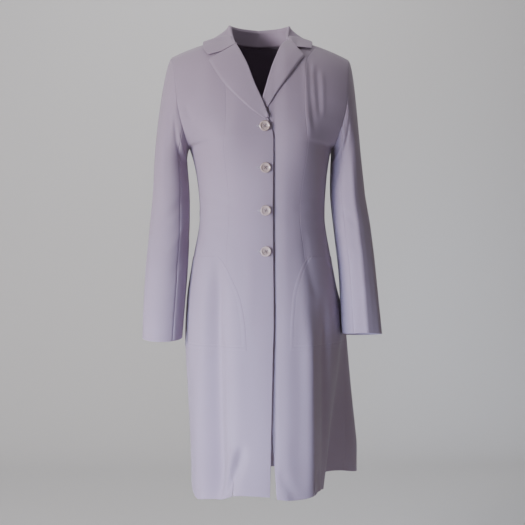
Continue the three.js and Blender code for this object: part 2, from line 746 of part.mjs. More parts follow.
// Shares of the whole collar run from the right front end, 0, by the centre back to the left, 1.
function wholeCollar(place) {
  return (whole, across) => {
    const side = whole < 0.5 ? RIGHT : LEFT;
    return place(side, whole < 0.5 ? whole * 2 : (1 - whole) * 2, across);
  };
}

const COLLAR_SHARES = [0, 0.05, 0.1, 0.16, 0.23, 0.3, 0.38, 0.47, 0.57, 0.68, 0.79, 0.9];
const COLLAR_WHOLE = [
  ...COLLAR_SHARES.map((share) => share / 2),
  0.5,
  ...COLLAR_SHARES.map((share) => 1 - share / 2).reverse(),
];
const COLLAR_ACROSS = [0, 0.06, 0.12, 0.18, FOLD_SHARE, 0.34, 0.46, NOTCH_SHARE, 0.72, 0.86, 1];

function collarHint(whole, across) {
  const side = whole < 0.5 ? RIGHT : LEFT;
  const outward = neckOutward(side, whole < 0.5 ? whole * 2 : (1 - whole) * 2);
  if (across < FOLD_SHARE / 2) {
    return outward.negate().addScaledVector(UP, 0.5);
  }
  return outward.addScaledVector(UP, 1);
}
surfaceWall('collar', wholeCollar(collarPoint), COLLAR_WHOLE, COLLAR_ACROSS, collarHint);

const STAND_LIFT = 0.6;
const STAND_INSET = 0.5;

function standPoint(side, share, up) {
  const foot = neckPoint(side, share, STAND_LIFT).addScaledVector(neckOutward(side, share), -STAND_INSET);
  const top = collarPoint(side, share, 0).addScaledVector(UP, -SEAM_GAP);
  return foot.lerp(top, up);
}
const standHint = wholeCollar(neckOutward);
surfaceWall('collar_stand', wholeCollar(standPoint), COLLAR_WHOLE, rowsBetween(0, 1, 3), standHint);

// Sleeves: from the armhole a cap rounds out to the first ring, then rings lead down to
// the cuff. Places round a sleeve are degrees from its outside, forwards, to its inside.
const CAP_LEAVES = [
  { around: 0, out: 46, forward: 0, down: 62 },
  { around: 90, out: 22, forward: 2, down: 95 },
  { around: 180, out: 12, forward: 0, down: 22 },
  { around: 270, out: 22, forward: -2, down: 95 },
  { around: 360, out: 46, forward: 0, down: 62 },
];
const ARMHOLE_CLEAR = 2.3;
const CAP_PULL = 0.95;
const RING_STEP = 0.06;

const wholeTurn = (around) => ((around % 360) + 360) % 360;

function armholePlace(around) {
  const turned = wholeTurn(around);
  const down = Math.min(turned, 360 - turned) / 180;
  return { face: turned <= 180 ? 'front' : 'back', row: lerp(SHOULDER, UNDERARM, down) };
}

function armholePoint(side, around) {
  const place = armholePlace(around);
  return bodyPoint(place.face, side, 1, place.row);
}

function armholeDirection(side, around) {
  const place = armholePlace(around);
  return bodyDirection(place.face, side, 1, place.row);
}

function sleeveRing(side, around, depth) {
  const rows = SLEEVE_ROWS[side];
  const numbers = rows.map((_, k) => k / (rows.length - 1));
  const value = (name) => curve(numbers, column(rows, name), depth);
  const turn = around * DEGREE;
  const x = value('x') + value('wide') * Math.cos(turn);
  const y = value('y') - value('deep') * Math.sin(turn);
  const tilt = CUFF_TILT[side] * smooth(depth * 1.2 - 0.2) * Math.sin(turn);
  return vector(side * x, y, value('z') - tilt);
}

function sleevePoint(side, around, down) {
  if (down >= CAP_SHARE) {
    return sleeveRing(side, around, (down - CAP_SHARE) / (1 - CAP_SHARE));
  }
  const f = down / CAP_SHARE;
  const leaves = (name) => along(CAP_LEAVES, 'around', name, wholeTurn(around));
  const leave = vector(side * leaves('out'), -leaves('forward'), -leaves('down'));
  const start = armholePoint(side, around).addScaledVector(leave.clone().normalize(), ARMHOLE_CLEAR);
  const end = sleeveRing(side, around, 0);
  const arrive = sleeveRing(side, around, RING_STEP).sub(end);
  arrive.setLength(start.distanceTo(end) * CAP_PULL);
  const point = start.multiplyScalar((1 + 2 * f) * (1 - f) ** 2);
  point.addScaledVector(leave, f * (1 - f) ** 2);
  point.addScaledVector(end, f * f * (3 - 2 * f));
  return point.addScaledVector(arrive, f * f * (f - 1));
}

function sleeveHint(side, around) {
  const turn = around * DEGREE;
  return vector(side * Math.cos(turn), -Math.sin(turn), 0.2 * Math.cos(turn));
}

const SLEEVE_LEVELS = [...rowsBetween(0, CAP_SHARE, 7), ...rowsBetween(CAP_SHARE, 1, 9).slice(1)];
const SEAM_DEGREES = 0.5;
const MITRE_SHARE = 0.05;

function sleevePiece(name, side, from, to, steps) {
  const arounds = rowsBetween(from + SEAM_DEGREES, to - SEAM_DEGREES, steps);
  const outer = arounds.map((around) => SLEEVE_LEVELS.map((down) => sleevePoint(side, around, down)));
  const inner = arounds.map((around, i) => SLEEVE_LEVELS.map((down, j) => {
    const surface = (u, v) => sleevePoint(side, u * 360, v);
    const level = clamp(down, 2 * SMALL, 1 - 2 * SMALL);
    const normal = directionOut(surface, around / 360, level, sleeveHint(side, around));
    const mitre = armholeDirection(side, around);
    normal.lerp(mitre, 1 - smooth(down / MITRE_SHARE)).normalize();
    return outer[i][j].clone().addScaledVector(normal, -CLOTH);
  }));
  return addPiece(name, closedWall(outer, inner));
}

for (const side of [RIGHT, LEFT]) {
  const name = sideName(side);
  sleevePiece(`top_sleeve_${name}`, side, SLEEVE_BACK_SEAM - 360, SLEEVE_FRONT_SEAM, 14);
  sleevePiece(`under_sleeve_${name}`, side, SLEEVE_FRONT_SEAM, SLEEVE_BACK_SEAM, 8);
}

// Patch pockets, lying on the fronts across the princess seams.
for (const side of [RIGHT, LEFT]) {
  const name = sideName(side);
  const foot = POCKET_EDGE[0].z;
  const top = POCKET_EDGE[POCKET_EDGE.length - 1].z;
  const lifted = (lift) => (up, across) => {
    const z = lerp(foot, top, up);
    const x = along(POCKET_EDGE, 'z', name, z);
    const row = rowAt('front', side, x, z);
    const share = lerp(shareAt('front', side, x, row), POCKET_SIDE, across);
    return onBody('front', side, share, row, lift);
  };
  const ups = rowsBetween(0, 1, 12);
  const acrosses = rowsBetween(0, 1, 7);
  const grid = (surface) => ups.map((up) => acrosses.map((across) => surface(up, across)));
  const geometry = closedWall(grid(lifted(POCKET_LIFT + CLOTH)), grid(lifted(POCKET_LIFT)));
  addPiece(`pocket_${name}`, geometry, POCKET_COLOUR);
}

// Buttons: a turned disc with a raised rim and four holes, standing on the right front.
const wasm = await Module();
wasm.setup();

function solidOf(geometry) {
  const bare = geometry.clone();
  bare.deleteAttribute('normal');
  bare.deleteAttribute('uv');
  const merged = mergeVertices(bare, 1e-4);
  const vertProperties = new Float32Array(merged.attributes.position.array);
  const triVerts = new Uint32Array(merged.index.array);
  return new wasm.Manifold(new wasm.Mesh({ numProp: 3, vertProperties, triVerts }));
}

function geometryOf(solid) {
  const mesh = solid.getMesh();
  const geometry = new THREE.BufferGeometry();
  geometry.setAttribute('position', new THREE.BufferAttribute(new Float32Array(mesh.vertProperties), 3));
  geometry.setIndex([...mesh.triVerts]);
  return geometry;
}

function buttonGeometry() {
  const profile = BUTTON_PROFILE.map(([r, h]) => new THREE.Vector2(r * BUTTON_RADIUS, h * BUTTON_HEIGHT));
  const disc = new THREE.LatheGeometry(profile, BUTTON_SIDES);
  let solid = solidOf(disc);
  for (const [x, y] of [[-1, -1], [1, -1], [1, 1], [-1, 1]]) {
    const length = 3 * BUTTON_HEIGHT;
    const drill = new THREE.CylinderGeometry(BUTTON_HOLE_RADIUS, BUTTON_HOLE_RADIUS, length, BUTTON_HOLE_SIDES);
    drill.translate(x * BUTTON_HOLE_ASIDE, 0, y * BUTTON_HOLE_ASIDE);
    solid = solid.subtract(solidOf(drill));
  }
  return geometryOf(solid);
}

for (const { name, x, z, seat } of BUTTONS) {
  const row = rowAt('front', RIGHT, -x, z);
  const share = shareAt('front', RIGHT, -x, row);
  const mesh = addPiece(name, buttonGeometry(), BUTTON_COLOUR, 0.3);
  mesh.position.copy(onBody('front', RIGHT, share, row, seat));
  mesh.quaternion.setFromUnitVectors(vector(0, 1, 0), bodyDirection('front', RIGHT, share, row));
}

export default jacket;
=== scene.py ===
"""A long fitted jacket in smooth grey-lilac cloth, filled out and empty, dressed over its solids.

The surfaces are worked out in millimetres, with the same sections as the solids, and become
meshes in metres. The jacket faces -Y and its wearer's right is at -X.
"""

import logging
import math
from collections.abc import Callable
from dataclasses import dataclass, field
from enum import Enum

import bmesh
import bpy
import numpy as np
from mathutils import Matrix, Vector


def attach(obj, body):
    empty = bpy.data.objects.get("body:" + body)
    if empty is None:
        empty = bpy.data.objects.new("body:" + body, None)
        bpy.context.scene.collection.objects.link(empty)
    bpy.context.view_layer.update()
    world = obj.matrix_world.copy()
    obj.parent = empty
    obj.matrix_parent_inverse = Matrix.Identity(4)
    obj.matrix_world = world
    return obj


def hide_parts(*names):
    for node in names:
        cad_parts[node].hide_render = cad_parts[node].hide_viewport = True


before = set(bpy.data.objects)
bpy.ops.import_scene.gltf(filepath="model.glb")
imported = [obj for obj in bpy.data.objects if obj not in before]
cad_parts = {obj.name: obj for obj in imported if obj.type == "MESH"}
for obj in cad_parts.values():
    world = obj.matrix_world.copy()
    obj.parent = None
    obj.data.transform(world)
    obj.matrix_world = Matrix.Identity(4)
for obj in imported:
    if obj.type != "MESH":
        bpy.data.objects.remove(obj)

LOG = logging.getLogger("jacket")
Array = np.ndarray
Surface = Callable[[Array, Array], Array]

MILLIMETRE = 0.001
CLOTH = 1.6
HEM = -985.0
NECK_WIDTH = 75.0
UP = np.array([0.0, 0.0, 1.0])
SMALL = 1e-3
SEAM_GAP = 0.3
STEPS_TO_FIND_A_ROW = 26
CUT_LAYER = "cut"

# Distances from a piece's edge, in millimetres, where its grid has a line.
EDGE_STEPS = (0.12, 0.3, 0.55, 0.8, 1.3, 2.1)
LAPEL_STEPS = (*EDGE_STEPS, 3.0, 4.2, 5.6)
POCKET_STEPS = (*EDGE_STEPS, 3.2, 4.4, 5.6, 6.6, 7.4, 8.2, 8.8, 9.6, 10.6, 12.0)


class Side(Enum):
    """Side of the wearer, by the sign of X there."""

    RIGHT = -1
    LEFT = 1


class Face(Enum):
    """Front or back of the body, by the sign of Y there."""

    FRONT = -1
    BACK = 1


class EdgeKind(Enum):
    """How a piece of cloth ends."""

    FREE = "free"
    SEAM = "seam"
    PLAIN = "plain"


@dataclass(frozen=True)
class Table:
    """Rows of numbers under named columns."""

    columns: tuple[str, ...]
    rows: tuple[tuple[float, ...], ...]

    def column(self, name: str) -> Array:
        """Return the numbers under one name."""
        place = self.columns.index(name)
        return np.array([row[place] for row in self.rows], dtype=float)

    def along(self, key: str, name: str, where: Array) -> Array:
        """Read a smooth curve through one column.

        Args:
            key: The column that says where each row lies.
            name: The column to read.
            where: Places along the key column.

        Returns:
            The values there.
        """
        return curve(self.column(key), self.column(name), where)


def curve(at: Array, values: Array, where: Array) -> Array:
    """Read a smooth curve through values that never swings past them.

    Args:
        at: Where each value lies, all rising or all falling.
        values: The values.
        where: Places to read.

    Returns:
        The curve's values at those places.
    """
    if at[0] > at[-1]:
        at, values = at[::-1], values[::-1]
    place = np.clip(where, at[0], at[-1])
    k = np.clip(np.searchsorted(at, place, side="right") - 1, 0, len(at) - 2)
    slopes = np.diff(values) / np.diff(at)
    before, after = slopes[:-1], slopes[1:]
    alike = before * after > 0
    inner = np.where(alike, 2 * before * after / np.where(alike, before + after, 1), 0)
    tangents = np.concatenate([slopes[:1], inner, slopes[-1:]])
    span = at[k + 1] - at[k]
    f = (place - at[k]) / span
    start = values[k] * (1 + 2 * f) * (1 - f) ** 2 + tangents[k] * span * f * (1 - f) ** 2
    end = values[k + 1] * f * f * (3 - 2 * f) + tangents[k + 1] * span * f * f * (f - 1)
    return start + end


def smooth(value: Array) -> Array:
    """Ease a value from 0 to 1."""
    f = np.clip(value, 0, 1)
    return f * f * (3 - 2 * f)


def lerp(start: Array, end: Array, share: Array) -> Array:
    """Go a share of the way between two values."""
    return start + (end - start) * share


def points(x: Array, y: Array, z: Array) -> Array:
    """Put three coordinates together as points."""
    return np.stack(np.broadcast_arrays(x, y, z), axis=-1).astype(float)


def unit(vectors: Array) -> Array:
    """Scale vectors to length one."""
    length = np.linalg.norm(vectors, axis=-1, keepdims=True)
    return vectors / np.maximum(length, 1e-12)


def inset(share: Array) -> Array:
    """Keep a share far enough inside 0 to 1 for small steps either way."""
    return np.clip(share, 2 * SMALL, 1 - 2 * SMALL)


def bridge(start: Array, leave: Array, end: Array, arrive: Array, f: Array) -> Array:
    """Lead a smooth curve from one place to another.

    Args:
        start: Where it starts.
        leave: Direction and pull at the start.
        end: Where it ends.
        arrive: Direction and pull at the end.
        f: Shares of the way.

    Returns:
        The curve's points.
    """
    return (
        start * (1 + 2 * f) * (1 - f) ** 2
        + leave * f * (1 - f) ** 2
        + end * f * f * (3 - 2 * f)
        + arrive * f * f * (f - 1)
    )


def linked(name: str, data: bpy.types.ID) -> bpy.types.Object:
    """Put a mesh, lamp or camera into the scene as an object."""
    made = bpy.data.objects.new(name, data)
    bpy.context.scene.collection.objects.link(made)
    return made


def direction_out(surface: Surface, u: Array, v: Array, hint: Array) -> Array:
    """Find which way a surface faces, by small steps either way.

    Args:
        surface: The surface's points for two parameters.
        u: First parameter.
        v: Second parameter.
        hint: A rough direction on the outer side.

    Returns:
        Unit vectors on the hint's side.
    """
    du = surface(u + SMALL, v) - surface(u - SMALL, v)
    dv = surface(u, v + SMALL) - surface(u, v - SMALL)
    normal = unit(np.cross(du, dv))
    same = np.sum(normal * hint, axis=-1, keepdims=True) >= 0
    return np.where(same, normal, -normal)


BODY_ROWS = Table(
    ("z", "right", "left", "right_y", "left_y", "front", "back"),
    (
        (HEM, 156, 164, 8, 46, -165, 178),
        (-900, 158, 170, 8, 42, -162, 173),
        (-790, 163, 175, 8, 34, -155, 164),
        (-665, 169, 179, 8, 22, -146, 152),
        (-575, 165, 173, 7, 12, -136, 139),
        (-485, 152, 160, 5, 6, -124, 120),
        (-385, 136, 145, 5, 5, -115, 104),
        (-300, 142, 149, 5, 5, -123, 108),
        (-235, 159, 159, 5, 5, -128, 112),
    ),
)
TOP_COLUMNS = ("rise", "depth", "edge_x", "edge_y", "edge_z", "turn")
TOPS = {
    Face.FRONT: Table(
        TOP_COLUMNS,
        (
            (-235, -128, 159, 5, -235, 90),
            (-217, -129, 162, -32, -231, 78),
            (-194, -129, 168, -58, -213, 64),
            (-162, -127, 177, -70, -183, 56),
            (-124, -121, 185, -71, -146, 50),
            (-82, -109, 189, -61, -104, 46),
            (-38, -84, 193, -41, -63, 40),
            (0, -44, 197, -18, -41, 34),
            (20.5, 5, 200, 5, -31, 30),
        ),
    ),
    Face.BACK: Table(
        TOP_COLUMNS,
        (
            (-235, 112, 159, 5, -235, 90),
            (-215, 113, 161, 38, -229, 76),
            (-190, 114, 165, 60, -209, 62),
            (-158, 114, 171, 70, -178, 54),
            (-118, 112, 178, 70, -140, 48),
            (-74, 106, 185, 60, -101, 44),
            (-30, 92, 191, 42, -62, 38),
            (3, 58, 196, 22, -41, 32),
            (20.5, 5, 200, 5, -31, 30),
        ),
    ),
}
UNDERARM = len(BODY_ROWS.rows) - 1
SHOULDER = UNDERARM + len(TOPS[Face.FRONT].rows) - 1
LOW_ROWS = np.arange(UNDERARM + 1.0)
HIGH_ROWS = np.arange(float(UNDERARM), SHOULDER + 1)
ALL_ROWS = np.arange(SHOULDER + 1.0)

# Folds of the skirt: degrees round from the centre front, breadth in degrees, how far out
# at the hem, the height where each begins, its lean in degrees, and the hem's own drop.
FOLD_COLUMNS = ("at", "breadth", "out", "top", "lean", "drop")
SKIRT_FOLDS = {
    Side.RIGHT: Table(
        FOLD_COLUMNS,
        (
            (8, 20, 0, -560, 0, -6),
            (23, 11, 4, -560, -3, -3),
            (40, 10, -11, -500, 2, 9),
            (60, 13, 7, -520, 4, 15),
            (103, 12, -14, -560, 0, -4),
            (128, 14, 18, -520, 2, 2),
            (153, 11, -11, -560, 0, -3),
        ),
    ),
    Side.LEFT: Table(
        FOLD_COLUMNS,
        (
            (24, 14, 4, -600, 0, 6),
            (79, 12, -46, -520, 3, -6),
            (64, 8, 0, -520, 0, 7),
            (86, 9, 0, -520, 0, -11),
            (104, 20, 76, -470, 2, -5),
            (134, 11, -14, -560, 0, -4),
            (156, 12, 10, -600, 0, 0),
        ),
    ),
}
HEM_DROP_REACH = 160.0

# Soft creases in the cloth: both ends, aside from the centre and up, half the breadth, how
# far out (in where negative), and how far the middle bows aside.
CREASE_COLUMNS = ("x0", "z0", "x1", "z1", "breadth", "out", "bow")
CREASES = {
    (Face.FRONT, Side.RIGHT): Table(
        CREASE_COLUMNS,
        (
            (48, -880, 86, -985, 11, -8.0, 5),
            (66, -895, 106, -1000, 11, 6.0, 5),
            (100, -500, 102, -985, 16, -17.0, -2),
            (128, -560, 132, -960, 10, 3.0, -3),
            (66, -600, 60, -930, 17, 2.0, 3),
            (78, -105, 84, -215, 14, -1.6, 2),
            (118, -60, 128, -190, 16, 1.6, 3),
            (150, -190, 168, -150, 7, -1.8, 2),
            (140, -215, 166, -186, 6, -1.4, 1),
            (30, -470, 40, -640, 14, 1.3, 3),
            (128, -345, 60, -372, 9, -0.9, 4),
            (132, -395, 76, -398, 8, 0.8, -3),
        ),
    ),
    (Face.FRONT, Side.LEFT): Table(
        CREASE_COLUMNS,
        (
            (117, -70, 123, -172, 6, -1.5, 2),
            (129, -80, 126, -176, 5, 1.2, -1),
            (108, -60, 110, -150, 7, 1.0, 1),
            (92, -50, 95, -210, 6, 1.6, 1),
            (101, -50, 104, -200, 6, -1.2, 1),
            (112, -935, 118, -988, 4, -2.0, 1),
            (121, -940, 128, -988, 3.5, 1.8, 1),
            (129, -946, 138, -990, 4, -1.8, 1),
            (36, -930, 74, -1000, 10, -2.4, 4),
            (98, -640, 102, -1060, 15, 5.5, 2),
            (134, -600, 137, -1060, 11, -7.0, 0),
            (22, -170, 22, -1000, 4.5, -2.4, 0),
            (60, -560, 66, -860, 18, 1.6, 3),
            (88, -540, 90, -1010, 18, 6.0, -2),
            (178, -560, 168, -960, 9, 10.0, 0),
            (128, -348, 70, -374, 9, -1.2, 4),
            (134, -392, 84, -398, 8, 1.0, -3),
            (88, -430, 110, -560, 8, -1.4, 3),
        ),
    ),
    (Face.BACK, Side.RIGHT): Table(
        CREASE_COLUMNS,
        (
            (134, -340, 50, -372, 10, -1.8, 5),
            (138, -378, 64, -398, 9, 1.3, -4),
            (128, -410, 48, -424, 10, -1.2, 4),
            (150, -150, 138, -260, 10, -2.0, 3),
            (96, -90, 104, -230, 15, 1.5, 3),
            (70, -560, 62, -960, 18, 1.8, 4),
        ),
    ),
    (Face.BACK, Side.LEFT): Table(
        CREASE_COLUMNS,
        (
            (130, -332, 40, -366, 10, -1.6, 4),
            (140, -384, 60, -392, 9, 1.4, -4),
            (132, -418, 70, -432, 9, -1.1, 3),
            (148, -140, 140, -270, 9, -2.2, 3),
            (88, -100, 98, -240, 15, 1.4, 3),
            (56, -600, 66, -970, 18, 1.7, -4),
            (178, -560, 168, -960, 9, 10.0, 0),
        ),
    ),
}

# Free edge of each front, and the princess seams, towards their own side from the centre.
EDGE_COLUMNS = ("z", "right", "left")
FRONT_EDGE = Table(
    EDGE_COLUMNS,
    (
        (HEM, -10, 25),
        (-860, -13, 17),
        (-700, -17, -2),
        (-600, -20, -12),
        (-470, -20, -18),
        (-225, -20, -18),
        (-190, -11, -14),
        (-167, -2.5, -8),
        (-141, 7.6, -1),
        (-106, 22.7, 9.5),
        (-66, 36, 22),
        (-41, 46, 32),
        (-12, 58, 45),
        (20.5, NECK_WIDTH, NECK_WIDTH),
    ),
)
PRINCESS_SEAM = Table(
    EDGE_COLUMNS,
    (
        (HEM, 68, 100),
        (-830, 72, 97),
        (-665, 78, 95),
        (-485, 80, 90),
        (-385, 73, 79),
        (-300, 77, 85),
        (-232, 80, 88),
        (-150, 80, 87),
        (-60, 90, 93),
        (20.5, 128, 128),
    ),
)
POCKET_EDGE = Table(
    EDGE_COLUMNS,
    (
        (-676, 38, 53),
        (-625, 41, 55),
        (-572, 50, 59),
        (-530, 66, 69),
        (-496, 84, 84),
        (-476, 100, 98),
    ),
)


@dataclass(frozen=True)
class Section:
    """One quarter of the body's section: at its centre, at its side, and its turn."""

    depth: Array
    height: Array
    width: Array
    side_y: Array
    side_z: Array
    turn: Array


@dataclass(frozen=True)
class BodyForm:
    """The filled-out surface of the jacket's body, which all pieces on it follow."""

    bust_height: float = -232.0
    bust_aside: float = 84.0
    bust_swell: float = 13.0
    bust_breadth: float = 46.0
    bust_rise: float = 62.0
    underlap: float = 3.6
    underlap_from: float = 50.0
    underlap_full: float = 23.0
    crease_end: float = 0.28

    def heights(self, face: Face) -> Array:
        """Return the height at the centre for each whole row."""
        return np.concatenate([BODY_ROWS.column("z"), TOPS[face].column("rise")[1:]])

    def section(self, face: Face, side: Side, row: Array) -> Section:
        """Work out the body's section at a row.

        Args:
            face: Front or back.
            side: Which side of the wearer.
            row: Rows up from the hem to the shoulder seam.

        Returns:
            The section's measures.
        """
        row = np.asarray(row, dtype=float)
        name = face.name.lower()
        top = TOPS[face]
        depths = np.concatenate([BODY_ROWS.column(name), top.column("depth")[1:]])
        height = curve(ALL_ROWS, self.heights(face), row)
        below = row <= UNDERARM

        def pick(low: str, high: str) -> Array:
            """Read the lower or the upper table."""
            lower = curve(LOW_ROWS, BODY_ROWS.column(low), np.minimum(row, UNDERARM))
            upper = curve(HIGH_ROWS, top.column(high), np.maximum(row, UNDERARM))
            return np.where(below, lower, upper)

        own = side.name.lower()
        turn = curve(HIGH_ROWS, top.column("turn"), np.maximum(row, UNDERARM))
        return Section(
            depth=curve(ALL_ROWS, depths, row),
            height=height,
            width=pick(own, "edge_x"),
            side_y=pick(f"{own}_y", "edge_y"),
            side_z=np.where(below, height, pick(own, "edge_z")),
            turn=np.radians(np.where(below, 90.0, turn)),
        )

    def share_at(self, face: Face, side: Side, x: Array, row: Array) -> Array:
        """Return the share of the way round a section of a place at x."""
        s = self.section(face, side, row)
        return np.arcsin(np.clip(x / s.width * np.sin(s.turn), -1, 1)) / s.turn

    def skirt_fold(self, face: Face, side: Side, share: Array, z: Array) -> tuple[Array, Array]:
        """Work out how far the skirt's folds move the cloth.

        Args:
            face: Front or back.
            side: Which side of the wearer.
            share: Share of the way round from the centre.
            z: Height.

        Returns:
            How far out, and how far down at the hem.
        """
        around = share * 90 if face is Face.FRONT else 180 - share * 90
        out = np.zeros_like(z)
        drop = np.zeros_like(z)
        for at, breadth, far, top, lean, fall in SKIRT_FOLDS[side].rows:
            reach = np.clip((top - z) / (top - HEM), 0, 1)
            middle = at + lean * (1 - reach)
            near = np.exp(-(((around - middle) / breadth) ** 2))
            out = out + far * reach**1.4 * near
            drop = drop + fall * np.clip(1 - (z - HEM) / HEM_DROP_REACH, 0, 1) ** 2 * near
        return out, drop

    def crease(self, face: Face, side: Side, x: Array, z: Array) -> Array:
        """Add up the soft creases at a place.

        Args:
            face: Front or back.
            side: Which side of the wearer.
            x: Aside from the centre.
            z: Height.

        Returns:
            How far out the creases move the cloth.
        """
        out = np.zeros_like(z)
        for x0, z0, x1, z1, breadth, far, bow in CREASES[(face, side)].rows:
            length = math.hypot(x1 - x0, z1 - z0)
            ax, az = (x1 - x0) / length, (z1 - z0) / length
            t = ((x - x0) * ax + (z - z0) * az) / length
            aside = (x - x0) * az - (z - z0) * ax - bow * 4 * t * (1 - t)
            ends = smooth(t / self.crease_end + 0.5) * smooth((1 - t) / self.crease_end + 0.5)
            out = out + far * ends * np.exp(-((aside / breadth) ** 2))
        return out

    def point(self, face: Face, side: Side, share: Array, row: Array) -> Array:
        """Find points of the body's outer surface.

        Args:
            face: Front or back.
            side: Which side of the wearer.
            share: Share of the way round from the centre to the side.
            row: Rows up from the hem to the shoulder seam.

        Returns:
            The points.
        """
        s = self.section(face, side, row)
        angle = share * s.turn
        across = np.sin(angle) / np.sin(s.turn)
        x = s.width * across
        y = s.depth + (s.side_y - s.depth) * (1 - np.cos(angle)) / (1 - np.cos(s.turn))
        z = s.height + (s.side_z - s.height) * across**2
        along_x = s.width * np.cos(angle) / np.sin(s.turn)
        along_y = (s.side_y - s.depth) * np.sin(angle) / (1 - np.cos(s.turn))
        size = np.hypot(along_x, along_y)
        normal_x, normal_y = -face.value * along_y / size, face.value * along_x / size
        out, drop = self.skirt_fold(face, side, share, z)
        if face is Face.FRONT:
            aside = (x - self.bust_aside) / self.bust_breadth
            rise = (z - self.bust_height) / self.bust_rise
            out = out + self.bust_swell * np.exp(-(aside**2) - rise**2)
            if side is Side.LEFT:
                full = (self.underlap_from - x) / (self.underlap_from - self.underlap_full)
                out = out - self.underlap * smooth(full)
        out = out + self.crease(face, side, x, z)
        return points(side.value * (x + normal_x * out), y + normal_y * out, z - drop)

    def direction(self, face: Face, side: Side, share: Array, row: Array) -> Array:
        """Find which way the body's surface faces at a place.

        Args:
            face: Front or back.
            side: Which side of the wearer.
            share: Share of the way round from the centre to the side.
            row: Rows up from the hem to the shoulder seam.

        Returns:
            Unit vectors out of the body.
        """
        row = np.asarray(row, dtype=float)
        inside = np.clip(row, SMALL, SHOULDER - 2 * SMALL)
        hint = points(
            side.value * share,
            face.value * (1.1 - share),
            np.where(row > UNDERARM + 5, 1.5, 0.1),
        )
        normal = direction_out(lambda u, v: self.point(face, side, u, v), share, inside, hint)
        seamward = smooth((row - SHOULDER + 0.7) / 0.7)[..., None]
        s = self.section(face, side, np.array(float(SHOULDER)))
        fall = 2 * (s.height - s.side_z) * np.sin(share * s.turn) / s.width
        shoulder_normal = unit(points(side.value * fall, 0, 1))
        return unit(lerp(normal, shoulder_normal, seamward))

    def raised(
        self, face: Face, side: Side, share: Array, row: Array, lift: Array | float
    ) -> Array:
        """Find points a given height above the body's surface."""
        share, row, lift = np.broadcast_arrays(share, row, lift)
        out = self.direction(face, side, share, row) * lift[..., None]
        return self.point(face, side, share, row) + out

    def over(
        self, face: Face, side: Side, x: Array, row: Array, lift: Array | float
    ) -> Array:
        """Find points a given height above the surface, at x aside from the centre."""
        return self.raised(face, side, self.share_at(face, side, x, row), row, lift)

    def row_at(self, face: Face, side: Side, x: Array, z: Array) -> Array:
        """Find the row where the surface has a given height at x.

        Args:
            face: Front or back.
            side: Which side of the wearer.
            x: Aside from the centre.
            z: Heights to find.

        Returns:
            The rows.
        """
        x, z = np.broadcast_arrays(np.asarray(x, dtype=float), np.asarray(z, dtype=float))
        low = np.zeros_like(z)
        high = np.full_like(z, SHOULDER)
        for _ in range(STEPS_TO_FIND_A_ROW):
            middle = (low + high) / 2
            share = self.share_at(face, side, x, middle)
            under = self.point(face, side, share, middle)[..., 2] < z
            low = np.where(under, middle, low)
            high = np.where(under, high, middle)
        return (low + high) / 2

    def front_height(self, row: Array) -> Array:
        """Return the height of the centre front at a row."""
        return curve(ALL_ROWS, self.heights(Face.FRONT), row)

    def front_edge_x(self, side: Side, row: Array) -> Array:
        """Return where the front's free edge lies at a row."""
        return FRONT_EDGE.along("z", side.name.lower(), self.front_height(row))

    def front_edge_share(self, side: Side, row: Array) -> Array:
        """Return the share of the way round of the front's free edge."""
        return self.share_at(Face.FRONT, side, self.front_edge_x(side, row), row)

    def princess_share(self, side: Side, row: Array) -> Array:
        """Return the share of the way round of the princess seam."""
        x = PRINCESS_SEAM.along("z", side.name.lower(), self.front_height(row))
        return self.share_at(Face.FRONT, side, x, row)


BODY = BodyForm()


@dataclass(frozen=True)
class Edge:
    """One edge of a piece: how it ends, how deep its seam sinks, and a turned-up hem."""

    kind: EdgeKind = EdgeKind.PLAIN
    dip: float = 0.28
    reach: float = 1.3
    turn_up: float = 0.0


